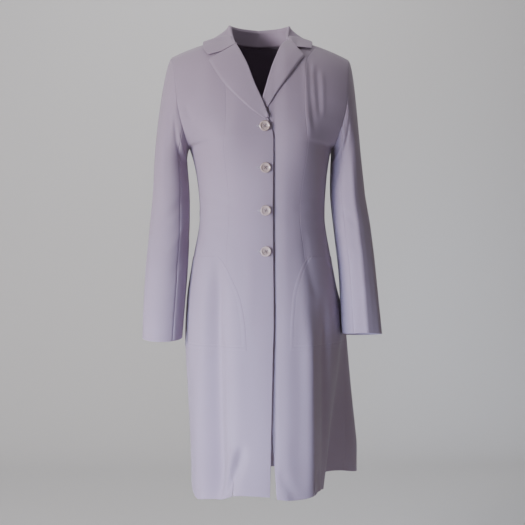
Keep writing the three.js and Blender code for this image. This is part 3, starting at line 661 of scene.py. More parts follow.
@dataclass
class ClothPiece:
    """A thin shell of cloth over a grid of points, with its edges finished."""

    name: str
    outer: Array
    normals: Array
    edges: dict[str, Edge]
    thickness: float = CLOTH
    free: dict[str, Array] = field(default_factory=dict)
    hem_ply: float = 0.9
    hem_fade: float = 1.5
    area: float = 0.0
    width: float = 0.0
    length: float = 0.0

    def distances(self) -> dict[str, Array]:
        """Measure how far each point lies from each edge, along the cloth.

        Returns:
            The distances from each named edge, in millimetres.
        """
        down = np.linalg.norm(np.diff(self.outer, axis=0), axis=-1)
        over = np.linalg.norm(np.diff(self.outer, axis=1), axis=-1)
        rows = np.concatenate([np.zeros((1, down.shape[1])), np.cumsum(down, axis=0)], axis=0)
        columns = np.concatenate([np.zeros((over.shape[0], 1)), np.cumsum(over, axis=1)], axis=1)
        self.length = float(rows[-1].max()) * MILLIMETRE
        self.width = float(columns[:, -1].max()) * MILLIMETRE
        return {
            "start": rows,
            "end": rows[-1:] - rows,
            "first": columns,
            "last": columns[:, -1:] - columns,
        }

    def walls(self) -> tuple[Array, Array]:
        """Move both faces to finish the edges.

        Returns:
            The outer and the inner face's points.
        """
        far = self.distances()
        sink = np.zeros(self.outer.shape[:2])
        rise = np.zeros(self.outer.shape[:2])
        radius = self.thickness / 2
        for name, edge in self.edges.items():
            short = np.clip(radius - far[name], 0, radius)
            round_off = radius - np.sqrt(np.maximum(radius**2 - short**2, 0))
            free = 1.0 if edge.kind is EdgeKind.FREE else self.free.get(name, 0.0)
            seam = 1.0 - free if edge.kind is EdgeKind.SEAM else 0.0
            dip = edge.dip * (1 - smooth(far[name] / edge.reach))
            sink = np.maximum(sink, round_off * free + dip * seam)
            rise = np.maximum(rise, round_off * free)
            if edge.turn_up:
                past = (far[name] - edge.turn_up) / self.hem_fade
                rise = rise - self.hem_ply * (1 - smooth(past))
        outer = self.outer - self.normals * sink[..., None]
        inner = self.outer - self.normals * (self.thickness - rise)[..., None]
        return outer, inner

    def flat_area(self) -> float:
        """Add up the area of the cloth, in square metres."""
        a = self.outer[1:, 1:] - self.outer[:-1, :-1]
        b = self.outer[1:, :-1] - self.outer[:-1, 1:]
        return float(np.linalg.norm(np.cross(a, b), axis=-1).sum()) / 2 * MILLIMETRE**2

    def build(self, material: bpy.types.Material) -> bpy.types.Object:
        """Make the piece's object.

        Args:
            material: The finish of both faces.

        Returns:
            The new object.
        """
        far = self.distances()
        outer, inner = self.walls()
        self.area = self.flat_area()
        flat = np.stack([far["first"] - far["first"][:, -1:] / 2, far["start"]], axis=-1)
        rows, columns = outer.shape[:2]
        numbers = np.arange(rows * columns).reshape(rows, columns)
        top = quads(numbers)
        under = quads(numbers + rows * columns)[:, ::-1]
        sides = numbers[0, :-1], numbers[:-1, -1], numbers[-1, :0:-1], numbers[:0:-1, 0]
        ring = np.concatenate(sides)
        after = np.roll(ring, -1)
        below = rows * columns
        rim = np.stack([ring, ring + below, after + below, after], axis=-1)
        faces = np.concatenate([top, under, rim])
        middle = (rows // 2, columns // 2)
        corner = outer[middle[0], middle[1]]
        step_u = outer[middle[0] + 1, middle[1]] - corner
        step_v = outer[middle[0], middle[1] + 1] - corner
        if np.dot(np.cross(step_v, step_u), self.normals[middle]) < 0:
            faces = faces[:, ::-1]
        every = np.concatenate([outer.reshape(-1, 3), inner.reshape(-1, 3)])
        uv = np.concatenate([flat.reshape(-1, 2)] * 2) * MILLIMETRE
        return mesh_object(self.name, every * MILLIMETRE, faces, material, uv)


def quads(numbers: Array) -> Array:
    """Return the faces of a grid of point numbers."""
    return np.stack(
        [numbers[:-1, :-1], numbers[:-1, 1:], numbers[1:, 1:], numbers[1:, :-1]], axis=-1
    ).reshape(-1, 4)


def new_mesh(name: str, places: Array, faces: list[list[int]]) -> bpy.types.Mesh:
    """Make a mesh from points, in metres, and lists of point numbers."""
    mesh = bpy.data.meshes.new(name)
    mesh.from_pydata(places.tolist(), [], faces)
    return mesh


def mesh_object(
    name: str,
    places: Array,
    faces: Array,
    material: bpy.types.Material,
    uv: Array | None = None,
) -> bpy.types.Object:
    """Make an object from points and faces.

    Args:
        name: The object's name.
        places: Points, in metres.
        faces: Point numbers of each four-sided face.
        material: Its finish.
        uv: Flat places of the points on the cloth, in metres.

    Returns:
        The new object, linked to the scene.
    """
    mesh = new_mesh(name, places, faces.tolist())
    if uv is not None:
        layer = mesh.uv_layers.new(name=CUT_LAYER)
        corners = np.zeros(len(mesh.loops), dtype=np.int32)
        mesh.loops.foreach_get("vertex_index", corners)
        layer.data.foreach_set("uv", uv[corners].astype(np.float32).ravel())
    mesh.materials.append(material)
    mesh.shade_smooth()
    mesh.validate()
    return linked(name, mesh)


def spaced(length: float, step: float, fine: tuple[float, ...] = EDGE_STEPS) -> Array:
    """Space shares along a length, close together at both ends.

    Args:
        length: The length, in millimetres.
        step: Spacing in the middle, in millimetres.
        fine: Distances from each end that also get a line.

    Returns:
        Shares from 0 to 1.
    """
    near = np.array(fine) / length
    count = max(2, round((length - 2 * fine[-1]) / step))
    middle = np.linspace(near[-1], 1 - near[-1], count + 1)
    return np.unique(np.concatenate([[0.0], near, middle, 1 - near, [1.0]]).round(7))


@dataclass(frozen=True)
class ClothFinish:
    """Smooth crepe cloth with a fine grain and a soft sheen."""

    name: str
    colour: tuple[float, float, float]
    roughness: float = 0.82
    sheen: float = 0.22
    sheen_roughness: float = 0.45
    grain_pitch: float = 0.0007
    grain_height: float = 0.00004
    grain_warp: float = 1.6
    slub_height: float = 0.00008
    slub_scale: float = 420.0
    cloud_scale: float = 5.0
    specular: float = 0.28
    shades: tuple[float, float] = (0.965, 1.035)

    def build(self) -> bpy.types.Material:
        """Make the cloth's material.

        Returns:
            A material whose grain follows the cut of each piece.
        """
        material, tree, shader = new_material(self.name)
        settle(shader, {
            "Base Color": (*self.colour, 1),
            "Roughness": self.roughness,
            "Sheen Weight": self.sheen,
            "Sheen Roughness": self.sheen_roughness,
            "Specular IOR Level": self.specular,
        })
        add = tree.nodes.new
        cut, place = add("ShaderNodeUVMap"), add("ShaderNodeTexCoord")
        cut.uv_map = CUT_LAYER
        weave = settle(add("ShaderNodeTexWave"), {
            "Scale": 0.05 / self.grain_pitch, "Distortion": self.grain_warp, "Detail": 2.0,
        })
        weave.wave_type, weave.bands_direction = "BANDS", "DIAGONAL"
        slub = settle(add("ShaderNodeTexNoise"), {"Scale": self.slub_scale, "Detail": 3.0})
        cloud = settle(add("ShaderNodeTexNoise"), {"Scale": self.cloud_scale, "Detail": 2.0})
        soft, fine = (
            settle(add("ShaderNodeBump"), {"Strength": 0.5, "Distance": height})
            for height in (self.slub_height, self.grain_height)
        )
        shades = add("ShaderNodeValToRGB")
        for stop, position, share in zip(shades.color_ramp.elements, (0.3, 0.7), self.shades):
            stop.position = position
            stop.color = (*(min(1.0, share * c) for c in self.colour), 1)
        for start, out, end, into in (
            (cut, "UV", weave, "Vector"),
            (cut, "UV", slub, "Vector"),
            (slub, "Fac", soft, "Height"),
            (weave, "Fac", fine, "Height"),
            (soft, "Normal", fine, "Normal"),
            (fine, "Normal", shader, "Normal"),
            (place, "Object", cloud, "Vector"),
            (cloud, "Fac", shades, "Fac"),
            (shades, "Color", shader, "Base Color"),
        ):
            tree.links.new(start.outputs[out], end.inputs[into])
        return material


@dataclass(frozen=True)
class PlainFinish:
    """A finish of one colour, glossy or matt."""

    name: str
    colour: tuple[float, float, float]
    roughness: float
    specular: float = 0.5
    coat: float = 0.0

    def build(self) -> bpy.types.Material:
        """Make the material."""
        material, _, shader = new_material(self.name)
        settle(shader, {
            "Base Color": (*self.colour, 1),
            "Roughness": self.roughness,
            "Specular IOR Level": self.specular,
            "Coat Weight": self.coat,
        })
        return material


def settle(node: bpy.types.Node, values: dict[str, float | tuple[float, ...]]) -> bpy.types.Node:
    """Set a node's named inputs and return the node."""
    for name, value in values.items():
        node.inputs[name].default_value = value
    return node


def new_material(name: str) -> tuple[bpy.types.Material, bpy.types.NodeTree, bpy.types.Node]:
    """Start a material with one shader.

    Args:
        name: The material's name.

    Returns:
        The material, its tree and its shader.
    """
    material = bpy.data.materials.new(name)
    material.use_nodes = True
    tree = material.node_tree
    return material, tree, tree.nodes["Principled BSDF"]


@dataclass(frozen=True)
class Finishes:
    """The jacket's finishes, made once."""

    cloth: bpy.types.Material
    thread: bpy.types.Material
    button: bpy.types.Material
    tie: bpy.types.Material


@dataclass(frozen=True)
class Sewing:
    """Adds a finished piece of cloth to the jacket."""

    finishes: Finishes

    def add(self, piece: ClothPiece, held: str, rests_on: tuple[str, ...] = ()) -> None:
        """Build a piece, hide its solid and log its size.

        Args:
            piece: The shell to build. It stands for the solid of the same name.
            held: Not used.
            rests_on: Not used.
        """
        node = piece.name.removesuffix("_cloth")
        made = piece.build(self.finishes.cloth)
        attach(made, "root")
        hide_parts(node)
        size = (piece.width, piece.length)
        area = min(piece.area, size[0] * size[1])
        LOG.info("%s: %.3f by %.3f m, %.4f square metres", node, *size, area)


@dataclass(frozen=True)
class BodyPanels:
    """Fronts, side fronts and backs, sewn at the princess, side, shoulder and back seams."""

    slit_length: float = 33.0
    slit_opening: float = 3.0
    hem_turn_up: float = 34.0
    step: float = 5.0
    back_neck_row: float = 15.0

    def rows(self) -> Array:
        """Space the rows from the hem to the shoulder, in row numbers."""
        fine = np.array([0, 0.001, 0.003, 0.006, 0.01, 0.02, 0.05])
        slit = np.linspace(0.08, 0.5, 9)
        low = np.linspace(0.55, UNDERARM, 125)
        high = np.linspace(UNDERARM, SHOULDER - 0.25, 70)[1:]
        last = SHOULDER - np.array([0.2, 0.15, 0.1, 0.07, 0.045, 0.025, 0.012, 0.005, 0.001])
        return np.concatenate([fine, slit, low, high, last])

    def open_share(self, row: Array) -> Array:
        """Return how far the slit at the foot of the princess seam has opened, 0 to 1."""
        return np.clip(1 - (BODY.front_height(row) - HEM) / self.slit_length, 0, 1)

    def share_of(self, face: Face, side: Side, share: Array, row: Array, width: Array) -> Array:
        """Turn a width of cloth at a place into a share of the way round."""
        ahead = BODY.point(face, side, share + SMALL, row)
        length = np.linalg.norm(ahead - BODY.point(face, side, share - SMALL, row), axis=-1)
        return width * 2 * SMALL / length

    def panel(
        self,
        name: str,
        face: Face,
        side: Side,
        bounds: tuple[Array, Array],
        edges: dict[str, Edge],
        free: dict[str, Array],
    ) -> ClothPiece:
        """Make a panel between two edges.

        Args:
            name: The piece's name.
            face: Front or back.
            side: Which side of the wearer.
            bounds: Shares of the way round where it starts and ends, for each row.
            edges: How its edges end.
            free: How far each seam is open, for each row.

        Returns:
            The shell.
        """
        rows = self.rows()
        start, end = bounds
        width = float(np.mean(end - start)) * 250
        across = spaced(width, self.step)
        share = start[:, None] + (end - start)[:, None] * across[None, :]
        row = np.broadcast_to(rows[:, None], share.shape)
        outer = BODY.point(face, side, share, row)
        normals = BODY.direction(face, side, share, row)
        return ClothPiece(f"{name}_cloth", outer, normals, edges, free=free)

    def build(self, side: Side, sewing: Sewing) -> None:
        """Sew one side of the body.

        Args:
            side: Which side of the wearer.
            sewing: Adds the pieces.
        """
        own = side.name.lower()
        rows = self.rows()
        opened = self.open_share(rows)
        gap = opened * self.slit_opening / 2 + 0.03
        princess = BODY.princess_share(side, rows)
        slit = self.share_of(Face.FRONT, side, princess, rows, gap)
        one = np.ones_like(rows)
        hem = Edge(EdgeKind.FREE, turn_up=self.hem_turn_up)
        shoulder = Edge(EdgeKind.SEAM, dip=0.7)
        seam = Edge(EdgeKind.SEAM)
        slit_free = smooth(opened * 6)[:, None]
        edges = {"start": hem, "end": shoulder, "first": Edge(EdgeKind.FREE), "last": seam}
        front = self.panel(
            f"front_{own}", Face.FRONT, side,
            (BODY.front_edge_share(side, rows), princess - slit), edges, {"last": slit_free},
        )
        sewing.add(front, "hung", (f"back_{own}",))
        edges = {"start": hem, "end": shoulder, "first": seam, "last": seam}
        side_front = self.panel(
            f"side_front_{own}", Face.FRONT, side, (princess + slit, one), edges,
            {"first": slit_free},
        )
        sewing.add(side_front, "hung", (f"back_{own}",))
        depth = np.clip((SHOULDER - rows) / (SHOULDER - self.back_neck_row), 0, 1)
        neck = BODY.share_at(Face.BACK, side, NECK_WIDTH * np.sqrt(1 - depth**2), rows)
        back = self.panel(f"back_{own}", Face.BACK, side, (neck, one), edges, {})
        sewing.add(back, "hung")


@dataclass(frozen=True)
class LapelCut:
    """Cut of one lapel: heights where its roll starts and ends, its lift and free edge."""

    side: Side
    foot: float
    gorge: float
    lift: float
    edge: tuple[tuple[float, float], ...]
    roll_share: float = 0.22
    roll_radius: float = 2.5
    roll_clear: float = 0.8
    settles: float = 1.6
    foot_share: float = 0.3
    rolls_over: float = 0.6
    over_share: float = 0.09

    def row_of(self, z: float) -> float:
        """Return the row where the front's edge has a height."""
        x = FRONT_EDGE.along("z", self.side.name.lower(), np.array(z))
        return float(BODY.row_at(Face.FRONT, self.side, x, np.array(z)))

    def row_up(self, up: Array) -> Array:
        """Return the row a share of the way up the roll."""
        return lerp(self.row_of(self.foot), self.row_of(self.gorge), np.asarray(up, dtype=float))

    def place(self, across: Array, up: Array) -> tuple[Array, Array, Array]:
        """Find a place on the lapel.

        Args:
            across: From the roll, 0, to the free edge, 1.
            up: From the foot of the roll, 0, to the gorge, 1.

        Returns:
            How far aside, the row, and the lift off the front.
        """
        across, up = np.broadcast_arrays(across, up)
        row = self.row_up(up)
        roll_x = BODY.front_edge_x(self.side, row) - self.roll_clear
        turn = np.clip(across / self.roll_share, 0, 1) * math.pi
        roll_lift = self.roll_radius - CLOTH - self.roll_radius * np.cos(turn)
        far = np.clip((across - self.roll_share) / (1 - self.roll_share), 0, 1)
        numbers = np.linspace(0, 1, len(self.edge))
        edge = np.array(self.edge)
        share = BODY.share_at(Face.FRONT, self.side, roll_x, row)
        roll_z = BODY.point(Face.FRONT, self.side, share, row)[..., 2]
        place_x = lerp(roll_x, curve(numbers, edge[:, 0], up), far)
        place_z = lerp(roll_z, curve(numbers, edge[:, 1], up), far)
        flat_row = BODY.row_at(Face.FRONT, self.side, place_x, place_z)
        rolled_over = self.rolls_over * smooth(1 - (1 - far) / self.over_share)
        low = CLOTH + SEAM_GAP + self.lift * smooth(up / self.foot_share) * (1 - rolled_over)
        lift = lerp(2 * self.roll_radius - CLOTH, low, smooth(far * self.settles))
        rolling = across <= self.roll_share
        return (
            np.where(rolling, roll_x - self.roll_radius * np.sin(turn), place_x),
            np.where(rolling, row, flat_row),
            np.where(rolling, roll_lift, lift),
        )

    def point(self, across: Array, up: Array) -> Array:
        """Find points of the lapel's outer face."""
        x, row, lift = self.place(across, up)
        return BODY.over(Face.FRONT, self.side, x, row, lift)

    def build(self, sewing: Sewing) -> None:
        """Make the lapel.

        Args:
            sewing: Adds the piece.
        """
        ups = spaced(190, 4.0)
        rolling = np.linspace(0, self.roll_share, 12)
        flat = spaced(70, 4.0, LAPEL_STEPS)
        flat = flat[flat > 0.02] * (1 - self.roll_share) + self.roll_share
        acrosses = np.concatenate([rolling, flat])
        up, across = np.meshgrid(ups, acrosses, indexing="ij")
        rolled = (across < self.roll_share / 2)[..., None]
        sign = self.side.value
        hint = np.where(rolled, points(-sign, 0, 0), points(-sign * 0.3, -1, 0.5))
        normals = direction_out(lambda u, v: self.point(v, u), inset(up), inset(across), hint)
        free = Edge(EdgeKind.FREE)
        edges = {"start": free, "end": free, "first": Edge(), "last": free}
        own = self.side.name.lower()
        piece = ClothPiece(f"lapel_{own}_cloth", self.point(across, up), normals, edges)
        sewing.add(piece, "folded", (f"front_{own}",))


LAPELS = {
    Side.RIGHT: LapelCut(
        Side.RIGHT, foot=-180, gorge=-13, lift=2.0,
        edge=((-2, -185), (26, -166), (60, -135), (84, -108), (104, -76), (116, -52)),
    ),
    Side.LEFT: LapelCut(
        Side.LEFT, foot=-148, gorge=3, lift=3.0,
        edge=((2, -168), (24, -134), (42, -108), (66, -74), (80, -55), (91, -42)),
    ),
}


@dataclass(frozen=True)
class CollarCut:
    """One side of the collar, from its front end round to the centre back."""

    side: Side
    notch: tuple[float, float]
    tip: tuple[float, float]
    fold: Table
    edge: Table


FOLD_LINE = ("share", "x", "y", "z")
FREE_LINE = ("share", "x", "z")
COLLARS = {
    Side.RIGHT: CollarCut(
        Side.RIGHT,
        notch=(87, -32),
        tip=(117, -40),
        fold=Table(
            FOLD_LINE,
            (
                (0, 60, -36, -2),
                (0.16, 66, -14, 22),
                (0.35, 69, 10, 45),
                (0.68, 48, 50, 48),
                (1, 0, 70, 47),
            ),
        ),
        edge=Table(
            FREE_LINE,
            ((0, 117, -40), (0.16, 128, -22), (0.35, 127, -3), (0.68, 82, -20), (1, 0, -22)),
        ),
    ),
    Side.LEFT: CollarCut(
        Side.LEFT,
        notch=(75, -19),
        tip=(108, -20),
        fold=Table(
            FOLD_LINE,
            (
                (0, 52, -28, 14),
                (0.16, 60, -9, 26),
                (0.35, 65, 10, 45),
                (0.68, 46, 50, 48),
                (1, 0, 70, 47),
            ),
        ),
        edge=Table(
            FREE_LINE,
            ((0, 108, -20), (0.16, 113, -9), (0.35, 114, 1), (0.68, 80, -20), (1, 0, -22)),
        ),
    ),
}


@dataclass(frozen=True)
class Collar:
    """The collar's fall, folded over its stand, and notched where it meets the lapels."""

    fold_radius: float = 3.5
    lift: float = CLOTH + 2.8
    fold_share: float = 0.24
    notch_share: float = 0.58
    blend: float = 0.2
    gorge_gap: float = 0.5
    tip_rise: float = 0.8
    shoulder_share: float = 0.35
    back_neck_row: float = 15.0
    stand_lift: float = 0.6
    stand_inset: float = 0.5
    stand_below: float = 0.1
    leaves_out: float = 0.4
    leaves_down: float = 0.55
    arrives_up: float = 0.15

    def outward(self, side: Side, share: Array) -> Array:
        """Return the level direction out of the neck."""
        turn = np.radians(lerp(-25, 90, np.asarray(share, dtype=float)))
        return points(side.value * np.cos(turn), np.sin(turn), 0)

    def fold_point(self, side: Side, share: Array) -> Array:
        """Find the top of the fold."""
        fold = COLLARS[side].fold
        x, y, z = (fold.along("share", name, share) for name in ("x", "y", "z"))
        return points(side.value * x, y, z)

    def edge_point(self, side: Side, share: Array) -> Array:
        """Find the collar's outer edge, lying on the front or on the back."""
        edge = COLLARS[side].edge
        x = edge.along("share", "x", share)
        z = edge.along("share", "z", share)
        found = []
        for face in (Face.FRONT, Face.BACK):
            row = BODY.row_at(face, side, x, z)
            found.append(BODY.over(face, side, x, row, self.lift))
        return np.where((share < self.shoulder_share)[..., None], found[0], found[1])

    def body_point(self, side: Side, share: Array, across: Array) -> Array:
        """Find the collar's fall away from its front end.

        Args:
            side: Which side of the wearer.
            share: From the front end, 0, to the centre back, 1.
            across: From the stand, 0, over the fold to the outer edge, 1.

        Returns:
            Points of its outer face.
        """
        outward = self.outward(side, share)
        radius = self.fold_radius
        centre = self.fold_point(side, share) - UP * radius
        turn = (np.clip(across / self.fold_share, 0, 1) * math.pi)[..., None]
        rolled = centre - outward * radius * np.cos(turn) + UP * radius * np.sin(turn)
        f = np.clip((across - self.fold_share) / (1 - self.fold_share), 0, 1)[..., None]
        start = centre + outward * radius
        end = self.edge_point(side, share)
        length = np.linalg.norm(end - start, axis=-1, keepdims=True)
        leave = outward * length * self.leaves_out - UP * length * self.leaves_down
        arrive = end - start + UP * length * self.arrives_up
        fallen = self.clear_of_body(bridge(start, leave, end, arrive, f), side)
        return np.where((across <= self.fold_share)[..., None], rolled, fallen)

    def clear_of_body(self, place: Array, side: Side) -> Array:
        """Move points out until they clear the cloth below them.

        Args:
            place: Points of the fall.
            side: Which side of the wearer.

        Returns:
            The points, moved where they were too low.
        """
        x = np.abs(place[..., 0])
        s = BODY.section(Face.FRONT, side, np.array(float(SHOULDER)))
        ridge = s.height + (s.side_z - s.height) * (x / s.width) ** 2
        z = np.minimum(place[..., 2], ridge - SMALL)
        moved = place
        for face in (Face.FRONT, Face.BACK):
            row = BODY.row_at(face, side, x, z)
            share = BODY.share_at(face, side, x, row)
            way = BODY.direction(face, side, share, row)
            clear = np.sum((place - BODY.point(face, side, share, row)) * way, axis=-1)
            short = np.maximum(self.lift - clear, 0)[..., None]
            here = (place[..., 1] < s.side_y) == (face is Face.FRONT)
            moved = np.where(here[..., None], place + way * short, moved)
        return moved

    def front_point(self, side: Side, across: Array) -> Array:
        """Find the collar's front end, along the top of the lapel and its own free edge.

        Args:
            side: Which side of the wearer.
            across: From the stand, 0, over the fold to the outer edge, 1.

        Returns:
            Points of its outer face.
        """
        lapel = LAPELS[side]
        notch, tip = COLLARS[side].notch, COLLARS[side].tip
        roll_x, roll_row, roll_lift = lapel.place(np.array(lapel.roll_share), np.array(1.0))
        roll_share = BODY.share_at(Face.FRONT, side, roll_x, roll_row)
        roll_z = BODY.point(Face.FRONT, side, roll_share, roll_row)[..., 2]
        apart = np.array([float(roll_z) - notch[1], notch[0] - float(roll_x)])
        apart = apart / np.linalg.norm(apart) * self.gorge_gap
        rolling = np.clip(across / self.fold_share, 0, 1) * lapel.roll_share
        rolled = lapel.point(rolling, np.ones_like(rolling)) + UP * self.gorge_gap
        far = np.clip((across - self.fold_share) / (self.notch_share - self.fold_share), 0, 1)
        free = np.clip((across - self.notch_share) / (1 - self.notch_share), 0, 1)
        start = 1 - smooth(far * 3)
        x = lerp(lerp(roll_x, notch[0], far), tip[0], free) + lerp(apart[0], 0, start)
        z = lerp(lerp(roll_z, notch[1], far), tip[1], free) + lerp(apart[1], self.gorge_gap, start)
        row = BODY.row_at(Face.FRONT, side, x, z)
        low = CLOTH + SEAM_GAP + lapel.lift
        lift = lerp(roll_lift, low, smooth(far * lapel.settles)) + free * self.tip_rise
        flat = BODY.over(Face.FRONT, side, x, row, lift)
        return np.where((across <= self.fold_share)[..., None], rolled, flat)

    def point(self, side: Side, share: Array, across: Array) -> Array:
        """Find points of the collar's outer face.

        Args:
            side: Which side of the wearer.
            share: From the front end, 0, to the centre back, 1.
            across: From the stand, 0, over the fold to the outer edge, 1.

        Returns:
            The points.
        """
        share, across = np.broadcast_arrays(share, across)
        near = (1 - smooth(share / self.blend))[..., None]
        return lerp(self.body_point(side, share, across), self.front_point(side, across), near)

    def stand_point(self, side: Side, share: Array, up: Array) -> Array:
        """Find points of the stand.

        Args:
            side: Which side of the wearer.
            share: From the front end, 0, to the centre back, 1.
            up: From the neck seam, 0, up to the fold, 1.

        Returns:
            Points of its outer face.
        """
        share, up = np.broadcast_arrays(share, up)
        gorge = LAPELS[side].row_up(np.array(1.0))
        row = lerp(gorge, SHOULDER - SMALL, np.clip(share / self.shoulder_share, 0, 1))
        edge = BODY.front_edge_share(side, row)
        fore = BODY.raised(Face.FRONT, side, edge, row, self.stand_lift)
        turn = (share - self.shoulder_share) / (1 - self.shoulder_share) * math.pi / 2
        turn = np.clip(turn, 0, math.pi / 2)
        row = SHOULDER - (SHOULDER - self.back_neck_row) * np.sin(turn)
        hind = BODY.over(Face.BACK, side, NECK_WIDTH * np.cos(turn), row, self.stand_lift)
        foot = np.where((share <= self.shoulder_share)[..., None], fore, hind)
        foot = foot - self.outward(side, share) * self.stand_inset
        top = self.point(side, share, np.zeros_like(share)) - UP * self.stand_below
        return lerp(foot, top, up[..., None])

    def whole(self, place: Callable[[Side, Array, Array], Array]) -> Surface:
        """Join both sides: 0 at the right front end, 1 at the left."""

        def surface(whole: Array, across: Array) -> Array:
            """Find points of both sides."""
            right = place(Side.RIGHT, np.clip(whole * 2, 0, 1), across)
            left = place(Side.LEFT, np.clip((1 - whole) * 2, 0, 1), across)
            return np.where((whole < 0.5)[..., None], right, left)

        return surface

    def hint(self, whole: Array) -> Array:
        """Return the level direction out of the neck along the whole collar."""
        right = self.outward(Side.RIGHT, np.clip(whole * 2, 0, 1))
        left = self.outward(Side.LEFT, np.clip((1 - whole) * 2, 0, 1))
        return np.where((whole < 0.5)[..., None], right, left)

    def build(self, sewing: Sewing) -> None:
        """Make the fall and the stand.

        Args:
            sewing: Adds the pieces.
        """
        round_neck = spaced(420, 3.5)
        rolling = np.linspace(0, self.fold_share, 12)
        falls = spaced(90, 3.0)
        falls = falls[falls > 0.02] * (1 - self.fold_share) + self.fold_share
        whole, across = np.meshgrid(round_neck, np.concatenate([rolling, falls]), indexing="ij")
        surface = self.whole(self.point)
        away = self.hint(whole)
        rolled = (across < self.fold_share / 2)[..., None]
        hint = np.where(rolled, -away + UP * 0.5, away + UP)
        normals = direction_out(surface, inset(whole), inset(across), hint)
        free = Edge(EdgeKind.FREE)
        edges = {"start": free, "end": free, "first": Edge(), "last": free}
        piece = ClothPiece("collar_cloth", surface(whole, across), normals, edges)
        sewing.add(piece, "folded", ("collar_stand",))
        whole, up = np.meshgrid(round_neck, np.linspace(0, 1, 9), indexing="ij")
        surface = self.whole(self.stand_point)
        normals = direction_out(surface, inset(whole), inset(up), self.hint(whole))
        edges = {"start": free, "end": free, "first": Edge(), "last": Edge()}
        piece = ClothPiece("collar_stand_cloth", surface(whole, up), normals, edges)
        sewing.add(piece, "hung", ("back_left", "back_right"))


# Rings of the sleeves below the underarm: centre, half-width and half-depth.
RING_COLUMNS = ("z", "x", "y", "wide", "deep")
SLEEVE_ROWS = {
    Side.RIGHT: Table(
        RING_COLUMNS,
        (
            (-268, 201, 3, 37, 61),
            (-330, 200, 3, 41, 58),
            (-420, 204, -2, 45, 54),
            (-510, 210, -12, 47, 50),
            (-580, 214.5, -22, 46, 46),
            (-655, 218.5, -32, 44, 42),
        ),
    ),
    Side.LEFT: Table(
        RING_COLUMNS,
        (
            (-268, 194, 3, 35, 61),
            (-330, 197, 3, 39, 58),
            (-420, 208, -2, 42, 54),
            (-510, 217, -12, 42, 50),
            (-580, 221, -22, 43.5, 46),
            (-650, 225, -32, 45, 42),
        ),
    ),
}
CAP_LEAVES = Table(
    ("around", "out", "forward", "down"),
    ((0, 46, 0, 62), (90, 22, 2, 95), (180, 12, 0, 22), (270, 22, -2, 95), (360, 46, 0, 62)),
)

# Creases of the sleeves: both ends, in degrees forwards from the outside and in the share
# of the way down, half the breadth in millimetres, and how far out.
SLEEVE_CREASE_COLUMNS = ("around0", "down0", "around1", "down1", "breadth", "out")
SLEEVE_CREASES = {
    Side.RIGHT: Table(
        SLEEVE_CREASE_COLUMNS,
        (
            (62, 0.04, 66, 0.52, 9, 1.3),
            (96, 0.10, 150, 0.42, 9, -2.4),
            (120, 0.12, 168, 0.36, 8, 1.8),
            (150, 0.50, 70, 0.60, 9, -1.9),
            (160, 0.56, 92, 0.68, 9, 1.5),
            (178, 0.62, 110, 0.74, 10, -1.6),
            (300, 0.50, 250, 0.60, 10, -1.8),
            (30, 0.62, 36, 0.98, 13, 1.3),
        ),
    ),
    Side.LEFT: Table(
        SLEEVE_CREASE_COLUMNS,
        (
            (66, 0.05, 70, 0.50, 10, 1.2),
            (92, 0.12, 146, 0.44, 9, -2.2),
            (116, 0.14, 166, 0.38, 8, 1.7),
            (156, 0.52, 84, 0.60, 9, -1.6),
            (166, 0.58, 100, 0.69, 9, 1.3),
            (306, 0.48, 256, 0.60, 10, -1.8),
            (84, 0.36, 84, 1.20, 7, 3.2),
            (52, 0.40, 52, 1.20, 13, -2.2),
        ),
    ),
}


